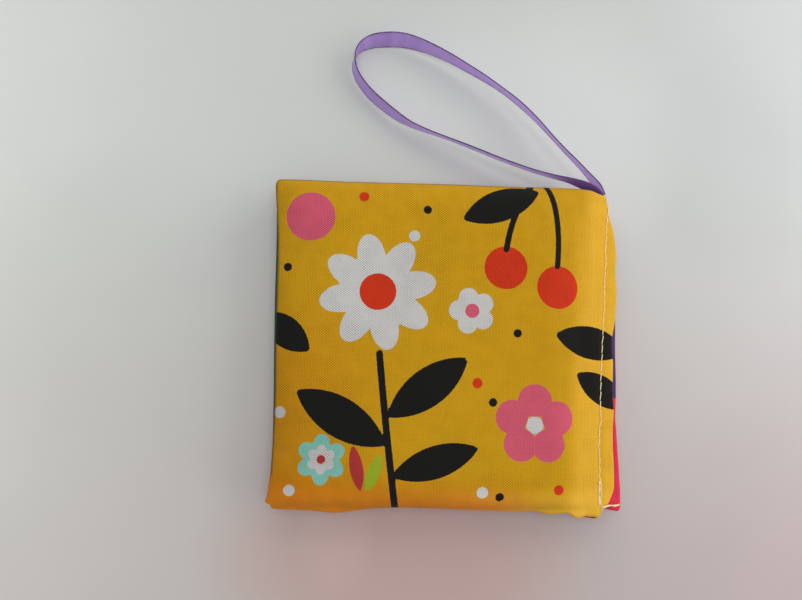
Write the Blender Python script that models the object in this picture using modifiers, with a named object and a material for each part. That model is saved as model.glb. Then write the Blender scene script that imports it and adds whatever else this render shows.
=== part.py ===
"""A crinkle cloth book, shut: five padded cloth leaves held by one row of stitches near their edge,
with a satin ribbon loop caught in the seam.

Metres, +Z up. The book lies on its back cover with the sewn edge at +X and the ribbon at +Y. The
origin is under the middle of the book. Every leaf turns about one line over the stitches.
"""

import math

import bmesh
import bpy
import numpy as np
from mathutils import Vector

# The whole book
BOOK_WIDTH = 0.1240  # free edge to the widest sewn edge
LEAF_HEIGHT = 0.1128  # the front cover, along the spine
HINGE_FROM_SPINE = 0.0090  # the turning line, in from the widest sewn edge
SPREAD = 0.0040  # how far the least even leaf falls short of the book's outline

# One leaf: two cloth panels over a wadding and a crinkle film
LEAF_RIM = 0.0020  # thickness at the edges and under the stitches
LEAF_MIDDLE = 0.0028  # thickness where the padding is full
CLOTH = 0.0005
SEAM_WALL = 0.0007  # the turned seam, cloth and allowance
SEAM_ROLL = 0.0015  # how far in from its edge a leaf is rolled over
FILM = 0.00025
GAP = 0.0003  # between pieces that touch
CORNER_RADIUS = 0.0022
EDGE_RISE = 0.0042  # how fast the padding fills in from a free edge
SPINE_RISE = 0.0095  # how fast it fills in from the stitches
SPINE_RISE_POWER = 1.7  # above 1, the stitches hold the cloth down close to them
PAD_INSET = 0.0060  # wadding and film stop short of the seams
PAD_SPINE_INSET = 0.0140
SPINE_LIFT = 0.0012  # the stitched block is drawn up off the table
SPINE_LIFT_REACH = 0.0070  # and comes down again this far from it
RIM_LIFT = 0.0005

# Thread
STITCH = 0.0033
THREAD = 0.0005
THREAD_ARCH = 0.00015  # a stitch bows up between its two holes
STITCHES_FROM_HINGE = 0.0007  # at the lower end of the seam
STITCHES_SLANT = 0.0046  # the seam runs out towards the spine edge at its upper end
STITCHES_END_INSET = 0.0025
TAIL = 0.0075
TAIL_DROP = 0.0012

# Ribbon
RIBBON_WIDTH = 0.0060
RIBBON_THICKNESS = 0.0004
RIBBON_SEWN = 0.0045
RIBBON_STUB = 0.0016  # the doubled end shows this much past the leaves
RIBBON_FROM_HINGE = 0.0030
RIBBON_TURN = math.radians(22)  # the ends point a little towards the book's middle
RIBBON_BEVEL = 0.0001

# The grid that every leaf is laid out on, as shares of the padded span between the wadding's edges
ACROSS_SHARES = (0.0, 0.13, 0.33, 0.55, 0.76, 0.91, 1.0)
ALONG_SHARES = (0.0, 0.14, 0.34, 0.5, 0.66, 0.86, 1.0)
ROLL_LINE_SHARES = (0.0, 0.27, 1.0)
ROLL_HEIGHT_SHARES = (0.0, 0.68, 1.0)
SEWN_ROLL_HEIGHT_SHARES = (0.55, 0.85, 1.0)
INNER_WALL_SHARES = (1.0, 1.0, 0.5)  # the panel's inner face stands this much of a seam wall further in
INNER_RISE_SHARES = (0.0, 0.45, 1.0)
LIFT_LINE_SHARE = 0.42  # one more line in the stretch beside the stitches, share of PAD_SPINE_INSET

# Where each leaf's edges run, all as shares of SPREAD short of the book's outline: the free edge at
# its corners, how far it is drawn in at its middle, the sewn edge at its upper and lower end, and
# each end's edge. The front cover comes first.
LEAVES = {
    "front_cover": dict(free=0.08, drawn=0.45, upper=0.80, lower=0.68, ends=0.18),
    "leaf_1": dict(free=0.10, drawn=0.22, upper=0.62, lower=0.60, ends=0.10),
    "leaf_2": dict(free=0.16, drawn=0.30, upper=0.10, lower=0.45, ends=0.12),
    "leaf_3": dict(free=0.12, drawn=0.26, upper=0.35, lower=0.00, ends=0.00),
    "back_cover": dict(free=0.00, drawn=0.35, upper=0.30, lower=0.22, ends=0.05),
}
EDGE_SHARES = {name: tuple(edges.values()) for name, edges in LEAVES.items()}

# The free loop's route in metres, and the angle of its width: 90 lies flat with the upper edge
# outward, 0 stands upright, and below 0 the upper edge tips inward. It leaves the seam along the
# far strand and comes back along the strand beside the book.
RIBBON_ROUTE = (
    (0.0556, 0.0591, 0.0097, 88),
    (0.0550, 0.0606, 0.0100, 62),
    (0.0533, 0.0630, 0.0104, 30),
    (0.0500, 0.0662, 0.0102, 8),
    (0.0456, 0.0705, 0.0097, -6),
    (0.0390, 0.0768, 0.0090, -12),
    (0.0328, 0.0834, 0.0084, -9),
    (0.0262, 0.0898, 0.0078, -6),
    (0.0195, 0.0954, 0.0072, -7),
    (0.0134, 0.0998, 0.0066, -2),
    (0.0060, 0.1043, 0.0060, 4),
    (-0.0007, 0.1081, 0.0054, 10),
    (-0.0075, 0.1115, 0.0047, 19),
    (-0.0125, 0.1136, 0.0040, 29),
    (-0.0176, 0.1150, 0.0033, 39),
    (-0.0230, 0.1153, 0.0028, 43),
    (-0.0290, 0.1142, 0.0029, 31),
    (-0.0335, 0.1113, 0.0033, 10),
    (-0.0356, 0.1068, 0.0034, -8),
    (-0.0350, 0.1018, 0.0034, -14),
    (-0.0326, 0.0973, 0.0034, -16),
    (-0.0284, 0.0923, 0.0034, -18),
    (-0.0205, 0.0858, 0.0039, -13),
    (-0.0139, 0.0818, 0.0045, 0),
    (-0.0071, 0.0789, 0.0052, 8),
    (-0.0004, 0.0763, 0.0058, 11),
    (0.0062, 0.0736, 0.0065, 10),
    (0.0129, 0.0709, 0.0072, 10),
    (0.0195, 0.0683, 0.0079, 10),
    (0.0261, 0.0659, 0.0085, 10),
    (0.0323, 0.0639, 0.0091, 8),
    (0.0388, 0.0623, 0.0096, 5),
    (0.0450, 0.0611, 0.0101, 0),
    (0.0504, 0.0611, 0.0106, -8),
    (0.0533, 0.0610, 0.0108, -32),
    (0.0549, 0.0604, 0.0107, -64),
    (0.0556, 0.0591, 0.0104, -88),
)
ROUTE_STEPS = 2  # points read between two points of the route

# Worked out from the sizes above
HALF_WIDTH = BOOK_WIDTH / 2
HALF_HEIGHT = (LEAF_HEIGHT + 2 * EDGE_SHARES["front_cover"][4] * SPREAD) / 2
HINGE_X = HALF_WIDTH - HINGE_FROM_SPINE
LAYER = LEAF_RIM + GAP
BLOCK_TOP = SPINE_LIFT + len(LEAVES) * LAYER - GAP
HINGE_Z = BLOCK_TOP + GAP + THREAD / 2  # at the height of the needle thread
RIBBON_DOUBLED = 2 * RIBBON_THICKNESS
RIBBON_POCKET = (RIBBON_DOUBLED + GAP) / 2  # cut from the two sewn edges that hold it
RIBBON_Z = BLOCK_TOP - LEAF_RIM - GAP / 2

COLOURS = {
    "yellow_cloth": (0.80, 0.45, 0.03),
    "green_cloth": (0.03, 0.14, 0.06),
    "purple_cloth": (0.12, 0.05, 0.18),
    "pink_cloth": (0.72, 0.06, 0.14),
    "red_cloth": (0.45, 0.05, 0.03),
    "white_wadding": (0.80, 0.79, 0.75),
    "clear_film": (0.70, 0.72, 0.74),
    "white_thread": (0.85, 0.83, 0.78),
    "lilac_satin": (0.28, 0.18, 0.46),
}
PANEL_CLOTH = {
    "front_cover": ("yellow_cloth", "green_cloth"),
    "leaf_1": ("green_cloth", "purple_cloth"),
    "leaf_2": ("purple_cloth", "pink_cloth"),
    "leaf_3": ("pink_cloth", "red_cloth"),
    "back_cover": ("red_cloth", "yellow_cloth"),
}


def clear_scene():
    for obj in list(bpy.data.objects):
        bpy.data.objects.remove(obj, do_unlink=True)


def collection(name):
    made = bpy.data.collections.new(name)
    bpy.context.scene.collection.children.link(made)
    return made


def material(name):
    """The named finish, made on its first use."""
    found = bpy.data.materials.get(name)
    if found:
        return found
    made = bpy.data.materials.new(name)
    made.use_nodes = True
    shader = made.node_tree.nodes["Principled BSDF"]
    shader.inputs["Base Color"].default_value = (*COLOURS[name], 1)
    shader.inputs["Roughness"].default_value = 0.35 if name in ("lilac_satin", "clear_film") else 0.85
    return made


def link(name, data, group, finish, parent=None):
    """A named object; a parent empty on the hinge line keeps the object's place in the world."""
    obj = bpy.data.objects.new(name, data)
    group.objects.link(obj)
    data.materials.append(material(finish))
    if parent:
        obj.parent = parent
        obj.matrix_parent_inverse = parent.matrix_world.inverted()
    return obj


def two_faced(name, upper, lower, group, finish, parent=None):
    """A closed body from a grid sheet and its extruded copy, each moved to its own surface.

    upper and lower are arrays of points, one row for each line across and one column for each along.
    """
    rows, columns = upper.shape[:2]
    shape = bmesh.new()
    bmesh.ops.create_grid(shape, x_segments=rows - 1, y_segments=columns - 1, size=0.5)
    cells = {}
    for vert in shape.verts:
        cells[vert] = (round((vert.co.x + 0.5) * (rows - 1)), round((vert.co.y + 0.5) * (columns - 1)))
    made = bmesh.ops.extrude_face_region(shape, geom=shape.faces[:])["geom"]
    copies = [item for item in made if isinstance(item, bmesh.types.BMVert)]
    for vert in copies:
        row = round((vert.co.x + 0.5) * (rows - 1))
        column = round((vert.co.y + 0.5) * (columns - 1))
        vert.co = Vector(upper[row, column])
    for vert, (row, column) in cells.items():
        vert.co = Vector(lower[row, column])
    bmesh.ops.recalc_face_normals(shape, faces=shape.faces[:])
    if shape.calc_volume(signed=True) < 0:
        bmesh.ops.reverse_faces(shape, faces=shape.faces[:])
    mesh = bpy.data.meshes.new(name)
    shape.to_mesh(mesh)
    shape.free()
    mesh.shade_smooth()
    mesh.set_sharp_from_angle(angle=math.radians(45))
    return link(name, mesh, group, finish, parent)


def filled(distance, reach):
    """How full the padding is at a distance in from a free edge, 0 at the edge and near 1 inside."""
    return 1 - np.exp(-distance / reach)


def filled_from_spine(distance):
    """The same in from the stitches, which hold the cloth down and let it rise in one slope."""
    return 1 - np.exp(-((distance / SPINE_RISE) ** SPINE_RISE_POWER))


def grid_lines():
    """The lines across and along that all leaves share inside their own seams."""
    left = -HALF_WIDTH + PAD_INSET
    right = HINGE_X - PAD_SPINE_INSET
    across = left + np.array(ACROSS_SHARES) * (right - left)
    across = np.append(across, HINGE_X - PAD_SPINE_INSET * LIFT_LINE_SHARE)
    half = HALF_HEIGHT - PAD_INSET
    along = -half + np.array(ALONG_SHARES) * 2 * half
    return across, along


def padding(x, y):
    """Share of the full padding at points x, y: straight between grid lines, so leaves nest."""
    across, along = grid_lines()
    from_free = filled(across + HALF_WIDTH, EDGE_RISE)
    rise = from_free * filled_from_spine(HINGE_X - across)
    knots = np.concatenate([[-HALF_WIDTH], across, [HINGE_X]])
    over_x = np.interp(x, knots, np.concatenate([[0], rise / rise.max(), [0]]))
    rise = filled(HALF_HEIGHT - np.abs(along), EDGE_RISE)
    knots = np.concatenate([[-HALF_HEIGHT], along, [HALF_HEIGHT]])
    over_y = np.interp(y, knots, np.concatenate([[0], rise / rise.max(), [0]]))
    return over_x * over_y


def table_lift(x, y):
    """Height of the back cover's underside: flat on the table, drawn up at the stitches and rims."""
    spine = SPINE_LIFT * np.interp(HINGE_X - x, [0, SPINE_LIFT_REACH], [1, 0])
    rim = np.minimum(np.minimum(x + HALF_WIDTH, HALF_HEIGHT - np.abs(y)), PAD_INSET)
    return np.maximum(spine, RIM_LIFT * (1 - rim / PAD_INSET))


def leaf_levels(number, x, y):
    """The middle height and the half thickness of a leaf at points x, y; the front cover is 0."""
    thickness = LEAF_RIM + (LEAF_MIDDLE - LEAF_RIM) * padding(x, y)
    under = len(LEAVES) - 1 - number
    bottom = table_lift(x, y) + under * (thickness + GAP)
    return bottom + thickness / 2, thickness / 2


def leaf_outline(name, row, column, inset):
    """Points of a leaf's grid pushed in by inset from its own drawn-in edges and round corners."""
    free, drawn, _, _, ends = (share * SPREAD for share in EDGE_SHARES[name])
    half = HALF_HEIGHT - ends
    across, along = grid_lines()
    y_edge = half - np.array(ROLL_LINE_SHARES) * SEAM_ROLL
    y = np.concatenate([-y_edge, along, y_edge[::-1]])[column]
    left = -HALF_WIDTH + free + drawn * np.maximum(1 - (y / (half - CORNER_RADIUS)) ** 2, 0)
    hinge_end = HINGE_X - GAP / 2
    x = np.select(
        [row < len(ROLL_LINE_SHARES), row == len(ROLL_LINE_SHARES) + len(across)],
        [left + np.take(ROLL_LINE_SHARES, np.minimum(row, 2)) * SEAM_ROLL, hinge_end],
        np.take(across, np.clip(row - len(ROLL_LINE_SHARES), 0, len(across) - 1)),
    )
    rows = len(ROLL_LINE_SHARES)
    from_end = np.minimum(column, len(y_edge) * 2 + len(along) - 1 - column)
    x = x + np.where(row < rows, inset[np.minimum(row, rows - 1)], 0)
    y = y - np.sign(y) * np.where(from_end < rows, inset[np.minimum(from_end, rows - 1)], 0)
    return round_corners(x, y, left, half)


def round_corners(x, y, left, half):
    """The two free corners drawn from squares onto arcs of CORNER_RADIUS."""
    over_x = CORNER_RADIUS - (x - left)
    over_y = CORNER_RADIUS - (half - np.abs(y))
    inside = (over_x > 0) & (over_y > 0)
    length = np.where(inside, np.hypot(over_x, over_y), 1)
    share = np.where(inside, np.maximum(over_x, over_y) / length, 1)
    new_x = np.where(inside, left + CORNER_RADIUS - over_x * share, x)
    new_y = np.where(inside, np.sign(y) * (half - CORNER_RADIUS + over_y * share), y)
    return new_x, new_y


def leaf_grid():
    across, along = grid_lines()
    rows = len(ROLL_LINE_SHARES) + len(across) + 1
    columns = 2 * len(ROLL_LINE_SHARES) + len(along)
    return np.meshgrid(np.arange(rows), np.arange(columns), indexing="ij")


def edge_shares(row, column, shares, closed_at_hinge):
    """A share that runs over a leaf's rolled edges: shares at the seams, 1 inside."""
    count = len(shares)
    last_row, last_column = row.max(), column.max()
    from_end = np.minimum(column, last_column - column)
    over_row = np.where(row < count, np.take(shares, np.minimum(row, count - 1)), 1)
    over_column = np.where(from_end < count, np.take(shares, np.minimum(from_end, count - 1)), 1)
    share = np.minimum(over_row, over_column)
    return np.where(row == last_row, 0, share) if closed_at_hinge else share


def panel(name, number, side, group, finish, parent):
    """One cloth panel of a leaf, side 1 over the padding and -1 under it."""
    leaf = list(LEAVES)[number]
    row, column = leaf_grid()
    x, y = leaf_outline(leaf, row, column, np.zeros(len(ROLL_LINE_SHARES)))
    middle, half = leaf_levels(number, x, y)
    roll = edge_shares(row, column, ROLL_HEIGHT_SHARES, closed_at_hinge=False)
    outside = middle + side * (GAP / 2 + (half - GAP / 2) * roll)
    outer = np.stack([x, y, outside], axis=-1)
    inner_x, inner_y = leaf_outline(leaf, row, column, np.array(INNER_WALL_SHARES) * SEAM_WALL)
    middle, half = leaf_levels(number, inner_x, inner_y)
    rise = edge_shares(row, column, INNER_RISE_SHARES, closed_at_hinge=True)
    inside = middle + side * (GAP / 2 + (half - CLOTH - GAP / 2) * rise)
    inner = np.stack([inner_x, inner_y, inside], axis=-1)
    return two_faced(name, outer, inner, group, finish, parent)


def padded_layers(number):
    """Points of the wadding's sheet, and the heights that bound what lies between the panels."""
    x, y = np.meshgrid(*(lines for lines in inner_lines()), indexing="ij")
    middle, half = leaf_levels(number, x, y)
    room = half - CLOTH - GAP
    return x, y, middle - room, middle + room


def inner_lines():
    across, along = grid_lines()
    return across[:-1], along


def wadding_and_film(leaf, number, group, parent):
    x, y, bottom, top = padded_layers(number)
    film_top = np.stack([x, y, top], axis=-1)
    film_bottom = np.stack([x, y, top - FILM], axis=-1)
    two_faced(f"{leaf}_crinkle_film", film_top, film_bottom, group, "clear_film", parent)
    wadding_top = np.stack([x, y, top - FILM - GAP], axis=-1)
    wadding_bottom = np.stack([x, y, bottom], axis=-1)
    two_faced(f"{leaf}_wadding", wadding_top, wadding_bottom, group, "white_wadding", parent)


def sewn_edge(leaf, number, group, finish):
    """The strip of a leaf that the stitches hold, outside the turning line."""
    _, _, upper, lower, ends = (share * SPREAD for share in EDGE_SHARES[leaf])
    _, along = grid_lines()
    half = HALF_HEIGHT - ends
    y_edge = half - np.array(ROLL_LINE_SHARES) * SEAM_ROLL
    y_lines = np.concatenate([-y_edge, along, y_edge[::-1]])
    row, column = np.meshgrid(np.arange(4), np.arange(len(y_lines)), indexing="ij")
    y = y_lines[column]
    right = HALF_WIDTH - np.interp(y, [-half, half], [lower, upper])
    roll_lines = np.array(ROLL_LINE_SHARES) * SEAM_ROLL
    x = np.where(row == 0, HINGE_X + GAP / 2, right - roll_lines[np.clip(3 - row, 0, 2)])
    from_end = np.minimum(column, len(y_lines) - 1 - column)
    over_row = np.take((1.0, *reversed(SEWN_ROLL_HEIGHT_SHARES)), row)
    over_column = np.take((*SEWN_ROLL_HEIGHT_SHARES, 1.0), np.minimum(from_end, 3))
    half_thickness = LEAF_RIM / 2 * np.minimum(over_row, over_column)
    middle = SPINE_LIFT + (len(LEAVES) - 1 - number) * LAYER + LEAF_RIM / 2
    pocket = np.where(y >= along[-1] - GAP, RIBBON_POCKET, 0)
    over = middle + half_thickness - (pocket if number == 1 else 0)
    under = middle - half_thickness + (pocket if number == 0 else 0)
    under, over = np.minimum(under, over - CLOTH), np.maximum(over, under + CLOTH)
    top = np.stack([x, y, over], axis=-1)
    bottom = np.stack([x, y, under], axis=-1)
    two_faced(f"{leaf}_sewn_edge", top, bottom, group, finish)


def tube(name, points, diameter, group, finish):
    """A thread along points."""
    curve = bpy.data.curves.new(name, "CURVE")
    curve.dimensions = "3D"
    curve.bevel_depth = diameter / 2
    curve.bevel_resolution = 1
    curve.use_fill_caps = True
    spline = curve.splines.new("POLY")
    spline.points.add(len(points) - 1)
    for point, place in zip(spline.points, points):
        point.co = (*place, 1)
    return link(name, curve, group, finish)


def seam_points(height, arch):
    """The row of stitches: a point at each hole and one between, bowed by arch."""
    start = -HALF_HEIGHT + STITCHES_END_INSET
    count = int((2 * HALF_HEIGHT - 2 * STITCHES_END_INSET) / STITCH)
    points = []
    for half_stitch in range(2 * count + 1):
        y = start + half_stitch * STITCH / 2
        share = (y + HALF_HEIGHT) / (2 * HALF_HEIGHT)
        x = HINGE_X + STITCHES_FROM_HINGE + STITCHES_SLANT * share
        points.append((x, y, height + (arch if half_stitch % 2 else 0)))
    return points


def threads(group):
    """The needle thread over the book, with its loose tail, and the bobbin thread under it."""
    over = BLOCK_TOP + GAP + THREAD / 2
    seam = seam_points(over, THREAD_ARCH)
    x, y, _ = seam[0]
    tail = [
        (x + TAIL, y + THREAD, over - TAIL_DROP),
        (x + TAIL * 2 / 3, y, over),
        (x + THREAD * 2, y - THREAD, over),
    ]
    tube("needle_thread", tail + seam, THREAD, group, "white_thread")
    under = SPINE_LIFT - GAP - THREAD / 2
    tube("bobbin_thread", seam_points(under, -THREAD_ARCH), THREAD, group, "white_thread")


def ribbon_ends(group):
    """Both ends of the ribbon laid together between the front cover and the first leaf."""
    shape = bmesh.new()
    bmesh.ops.create_cube(shape, size=1)
    length = RIBBON_SEWN + RIBBON_STUB
    bmesh.ops.scale(shape, vec=(RIBBON_WIDTH, length, RIBBON_DOUBLED), verts=shape.verts[:])
    bmesh.ops.translate(shape, vec=(0, RIBBON_STUB - length / 2, 0), verts=shape.verts[:])
    mesh = bpy.data.meshes.new("ribbon_sewn_ends")
    shape.to_mesh(mesh)
    shape.free()
    obj = link("ribbon_sewn_ends", mesh, group, "lilac_satin")
    obj.location = (HINGE_X + GAP + RIBBON_FROM_HINGE, HALF_HEIGHT, RIBBON_Z)
    obj.rotation_euler = (0, 0, RIBBON_TURN)
    bevel = obj.modifiers.new("soft edges", "BEVEL")
    bevel.width = RIBBON_BEVEL
    bevel.segments = 1


def smooth_route():
    """Points and width angles on a smooth curve through the route's own points."""
    route = np.array(RIBBON_ROUTE)
    before = np.vstack([route[:1], route[:-1]])
    after = np.vstack([route[1:], route[-1:]])
    slope = (after - before) / 2
    points = []
    for start, end, slope_in, slope_out in zip(route[:-1], route[1:], slope[:-1], slope[1:]):
        for step in range(ROUTE_STEPS):
            t = step / ROUTE_STEPS
            points.append(
                (2 * t**3 - 3 * t**2 + 1) * start
                + (t**3 - 2 * t**2 + t) * slope_in
                + (3 * t**2 - 2 * t**3) * end
                + (t**3 - t**2) * slope_out
            )
    points.append(route[-1])
    return np.array(points)


def ribbon_loop(group, guides):
    """The free loop, a flat band on its route."""
    section = bpy.data.curves.new("ribbon_section", "CURVE")
    section.dimensions = "2D"
    corners = section.splines.new("POLY")
    corners.points.add(3)
    half_width, half_thickness = RIBBON_WIDTH / 2, RIBBON_THICKNESS / 2
    for point, (across, over) in zip(corners.points, ((-1, 1), (1, 1), (1, -1), (-1, -1))):
        point.co = (across * half_width, over * half_thickness, 0, 1)
    corners.use_cyclic_u = True
    guide = bpy.data.objects.new("ribbon_section", section)
    guides.objects.link(guide)
    guide.hide_render = True
    guide.display_type = "WIRE"
    curve = bpy.data.curves.new("ribbon_loop", "CURVE")
    curve.dimensions = "3D"
    curve.twist_mode = "Z_UP"
    curve.bevel_mode = "OBJECT"
    curve.bevel_object = guide
    curve.use_fill_caps = True
    route = smooth_route()
    spline = curve.splines.new("POLY")
    spline.points.add(len(route) - 1)
    for point, (x, y, z, lean) in zip(spline.points, route):
        point.co = (x, y, z, 1)
        point.tilt = math.radians(lean - 90)
    return link("ribbon_loop", curve, group, "lilac_satin")


def turning_line(leaf, group):
    """The empty that a leaf hangs from, on the line that the leaf turns about."""
    empty = bpy.data.objects.new(f"{leaf}_turning_line", None)
    empty.location = (HINGE_X, 0, HINGE_Z)
    group.objects.link(empty)
    bpy.context.view_layer.update()
    return empty


def main():
    clear_scene()
    book = collection("crinkle_cloth_book")
    guides = collection("guides")
    for number, leaf in enumerate(LEAVES):
        held = leaf == "back_cover"
        parent = None if held else turning_line(leaf, book)
        over, under = PANEL_CLOTH[leaf]
        outer, inner = ("front_panel", "back_panel")
        panel(f"{leaf}_{outer}", number, 1, book, over, parent)
        panel(f"{leaf}_{inner}", number, -1, book, under, parent)
        wadding_and_film(leaf, number, book, parent)
        sewn_edge(leaf, number, book, over)
    threads(book)
    ribbon_ends(book)
    ribbon_loop(book, guides)


main()
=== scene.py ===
"""A crinkle cloth book, shut, with a satin ribbon loop sewn into its spine.

Metres, +Z up. The book lies on its back cover with the sewn edge at +X and the ribbon at +Y.
"""

import logging
import math
from dataclasses import dataclass, field
from enum import Enum

import bmesh
import bpy
import numpy as np
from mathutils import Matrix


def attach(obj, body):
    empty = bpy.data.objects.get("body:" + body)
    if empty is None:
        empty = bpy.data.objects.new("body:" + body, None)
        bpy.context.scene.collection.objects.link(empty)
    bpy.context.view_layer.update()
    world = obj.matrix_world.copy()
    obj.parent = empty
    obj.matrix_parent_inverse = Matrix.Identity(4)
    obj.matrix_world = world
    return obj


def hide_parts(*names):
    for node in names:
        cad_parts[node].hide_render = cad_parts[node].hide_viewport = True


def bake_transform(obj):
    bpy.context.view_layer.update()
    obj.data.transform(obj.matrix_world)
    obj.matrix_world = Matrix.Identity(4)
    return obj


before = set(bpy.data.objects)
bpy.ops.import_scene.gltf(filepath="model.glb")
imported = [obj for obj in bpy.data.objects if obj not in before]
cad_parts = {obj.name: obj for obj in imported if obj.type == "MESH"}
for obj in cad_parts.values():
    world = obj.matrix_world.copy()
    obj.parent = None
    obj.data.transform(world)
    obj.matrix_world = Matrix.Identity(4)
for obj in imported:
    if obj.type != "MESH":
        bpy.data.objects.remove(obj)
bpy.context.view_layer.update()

log = logging.getLogger("cloth_book")
MM = 0.001
CLOTH_SPAN = 0.150  # one unit of a cloth's UV map
BAND_SPAN = 0.250  # one unit of the ribbon's UV map, along it
STITCH = 0.0033
SEAM_START = -0.0556
SEAM_END = 0.0524

Array = np.ndarray
Socket = bpy.types.NodeSocket
Tone = tuple[float, float, float]
Light = tuple[float, float, float, float]
Line = tuple[tuple[float, float], ...]


# ---------------------------------------------------------------- curves and grids


def smooth_line(knots: Array, at: Array) -> Array:
    """A smooth curve through knots.

    Between two knots it is the cubic p(t) = h00(t) a + h10(t) s m_a + h01(t) b + h11(t) s m_b, where
    s is their distance and m the slope of the chord over each knot's neighbours.

    Args:
        knots: rows of place and value, the places rising.
        at: places to read, held inside the first and the last knot.

    Returns:
        The curve's value at each place.
    """
    places, values = knots[:, 0], knots[:, 1]
    slopes = np.gradient(values, places)
    at = np.clip(at, places[0], places[-1])
    index = np.clip(np.searchsorted(places, at) - 1, 0, len(places) - 2)
    span = places[index + 1] - places[index]
    t = (at - places[index]) / span
    return (
        (2 * t**3 - 3 * t**2 + 1) * values[index]
        + (t**3 - 2 * t**2 + t) * span * slopes[index]
        + (3 * t**2 - 2 * t**3) * values[index + 1]
        + (t**3 - t**2) * span * slopes[index + 1]
    )


def drawn(rows: Array, count: int) -> Array:
    """A smooth line through rows of numbers, read at count even steps from the first to the last."""
    key, fine = np.arange(len(rows), dtype=float), np.linspace(0, len(rows) - 1, count)
    return np.column_stack([smooth_line(np.column_stack([key, column]), fine) for column in rows.T])


def run_of(line: Array) -> Array:
    """How far along a line each of its points is."""
    return np.concatenate([[0], np.cumsum(np.linalg.norm(np.diff(line, axis=0), axis=1))])


def unit(vectors: Array) -> Array:
    """The same directions at length 1."""
    return vectors / np.linalg.norm(vectors, axis=-1, keepdims=True)


def eased(t: Array) -> Array:
    """Smooth step 3t^2 - 2t^3 of t held between 0 and 1."""
    t = np.clip(t, 0, 1)
    return t * t * (3 - 2 * t)


def ripples(x: Array, y: Array, shortest: float, longest: float, seed: int) -> Array:
    """Gentle random waves between -1 and 1: the mean of cosines of unlike direction and wavelength.

    Args:
        x: places across.
        y: places along.
        shortest: the shortest wavelength.
        longest: the longest wavelength.
        seed: chooses the waves.

    Returns:
        The height at each place, scaled so that its usual size is near 1.
    """
    waves = 7
    draw = np.random.default_rng(seed)
    angle = draw.uniform(0, 2 * math.pi, waves)
    phase = draw.uniform(0, 2 * math.pi, waves)
    number = 2 * math.pi / np.exp(draw.uniform(np.log(shortest), np.log(longest), waves))
    total = np.zeros(np.broadcast(x, y).shape)
    for turn, start, rate in zip(angle, phase, number):
        total = total + np.cos(rate * (x * math.cos(turn) + y * math.sin(turn)) + start)
    return total / math.sqrt(waves * 2)


def normals_of(points: Array) -> Array:
    """Unit normals of a grid of points, from the cross product of its two central differences."""
    across = np.gradient(points, axis=0)
    along = np.gradient(points, axis=1)
    normal = np.cross(across, along)
    return normal / np.maximum(np.linalg.norm(normal, axis=-1, keepdims=True), 1e-12)


def grid_quads(rows: int, columns: int, start: int = 0) -> Array:
    """Corner numbers of a grid's faces, in turning order about rows x columns."""
    index = start + np.arange(rows * columns).reshape(rows, columns)
    return np.stack(
        [index[:-1, :-1], index[1:, :-1], index[1:, 1:], index[:-1, 1:]], axis=-1
    ).reshape(-1, 4)


def rim_quads(rows: int, columns: int) -> Array:
    """Faces that join the outer ring of one grid to that of a second one stored after it."""
    index = np.arange(rows * columns).reshape(rows, columns)
    ring = np.concatenate([index[:, 0], index[-1, 1:], index[-2::-1, -1], index[0, -2:0:-1]])
    following = np.roll(ring, -1)
    size = rows * columns
    return np.stack([following, ring, ring + size, following + size], axis=-1)


def tube_quads(count: int, sides: int) -> Array:
    """Faces of a tube of count rings with sides points in each."""
    index = np.arange(count * sides).reshape(count, sides)
    ahead = np.roll(index, -1, axis=1)
    return np.stack([index[:-1], ahead[:-1], ahead[1:], index[1:]], axis=-1).reshape(-1, 4)


def close_ends(mesh: bpy.types.Mesh) -> None:
    """Fills the open rings of a tube, which are its only holes."""
    shape = bmesh.new()
    shape.from_mesh(mesh)
    bmesh.ops.holes_fill(shape, edges=[edge for edge in shape.edges if edge.is_boundary], sides=0)
    bmesh.ops.recalc_face_normals(shape, faces=shape.faces[:])
    if shape.calc_volume(signed=True) < 0:
        bmesh.ops.reverse_faces(shape, faces=shape.faces[:])
    shape.to_mesh(mesh)
    shape.free()


def mesh_object(name: str, points: Array, quads: Array) -> bpy.types.Object:
    """A smooth-shaded mesh object at the origin.

    Args:
        name: the piece's name.
        points: its vertices, n x 3, in metres.
        quads: its faces, m x 4.

    Returns:
        The object, linked to the scene.
    """
    mesh = bpy.data.meshes.new(name)
    mesh.from_pydata(points.tolist(), [], quads.tolist())
    mesh.shade_smooth()
    mesh.update()
    obj = bpy.data.objects.new(name, mesh)
    bpy.context.scene.collection.objects.link(obj)
    return obj


def put_attribute(mesh: bpy.types.Mesh, name: str, values: Array) -> None:
    """Stores one number a vertex under a name that a material reads."""
    layer = mesh.attributes.new(name, "FLOAT", "POINT")
    layer.data.foreach_set("value", np.ascontiguousarray(values, dtype=np.float32).ravel())


def put_uv(mesh: bpy.types.Mesh, name: str, places: Array) -> None:
    """Stores a UV map from one pair of coordinates a vertex."""
    loops = np.empty(len(mesh.loops), dtype=np.int32)
    mesh.loops.foreach_get("vertex_index", loops)
    layer = mesh.uv_layers.new(name=name)
    layer.data.foreach_set("uv", np.ascontiguousarray(places[loops], dtype=np.float32).ravel())


# ---------------------------------------------------------------- the camera, lights and table


def linear(red: float, green: float, blue: float) -> Light:
    """A colour as a screen shows it, turned into the light values that a shader takes."""
    values = [v / 12.92 if v <= 0.04045 else ((v + 0.055) / 1.055) ** 2.4 for v in (red, green, blue)]
    return (values[0], values[1], values[2], 1.0)


@dataclass(frozen=True)
class Lamp:
    """One soft area light."""

    name: str
    place: tuple[float, float, float]
    aim: tuple[float, float, float]
    wide: float
    tall: float
    power: float
    colour: Tone


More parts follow.
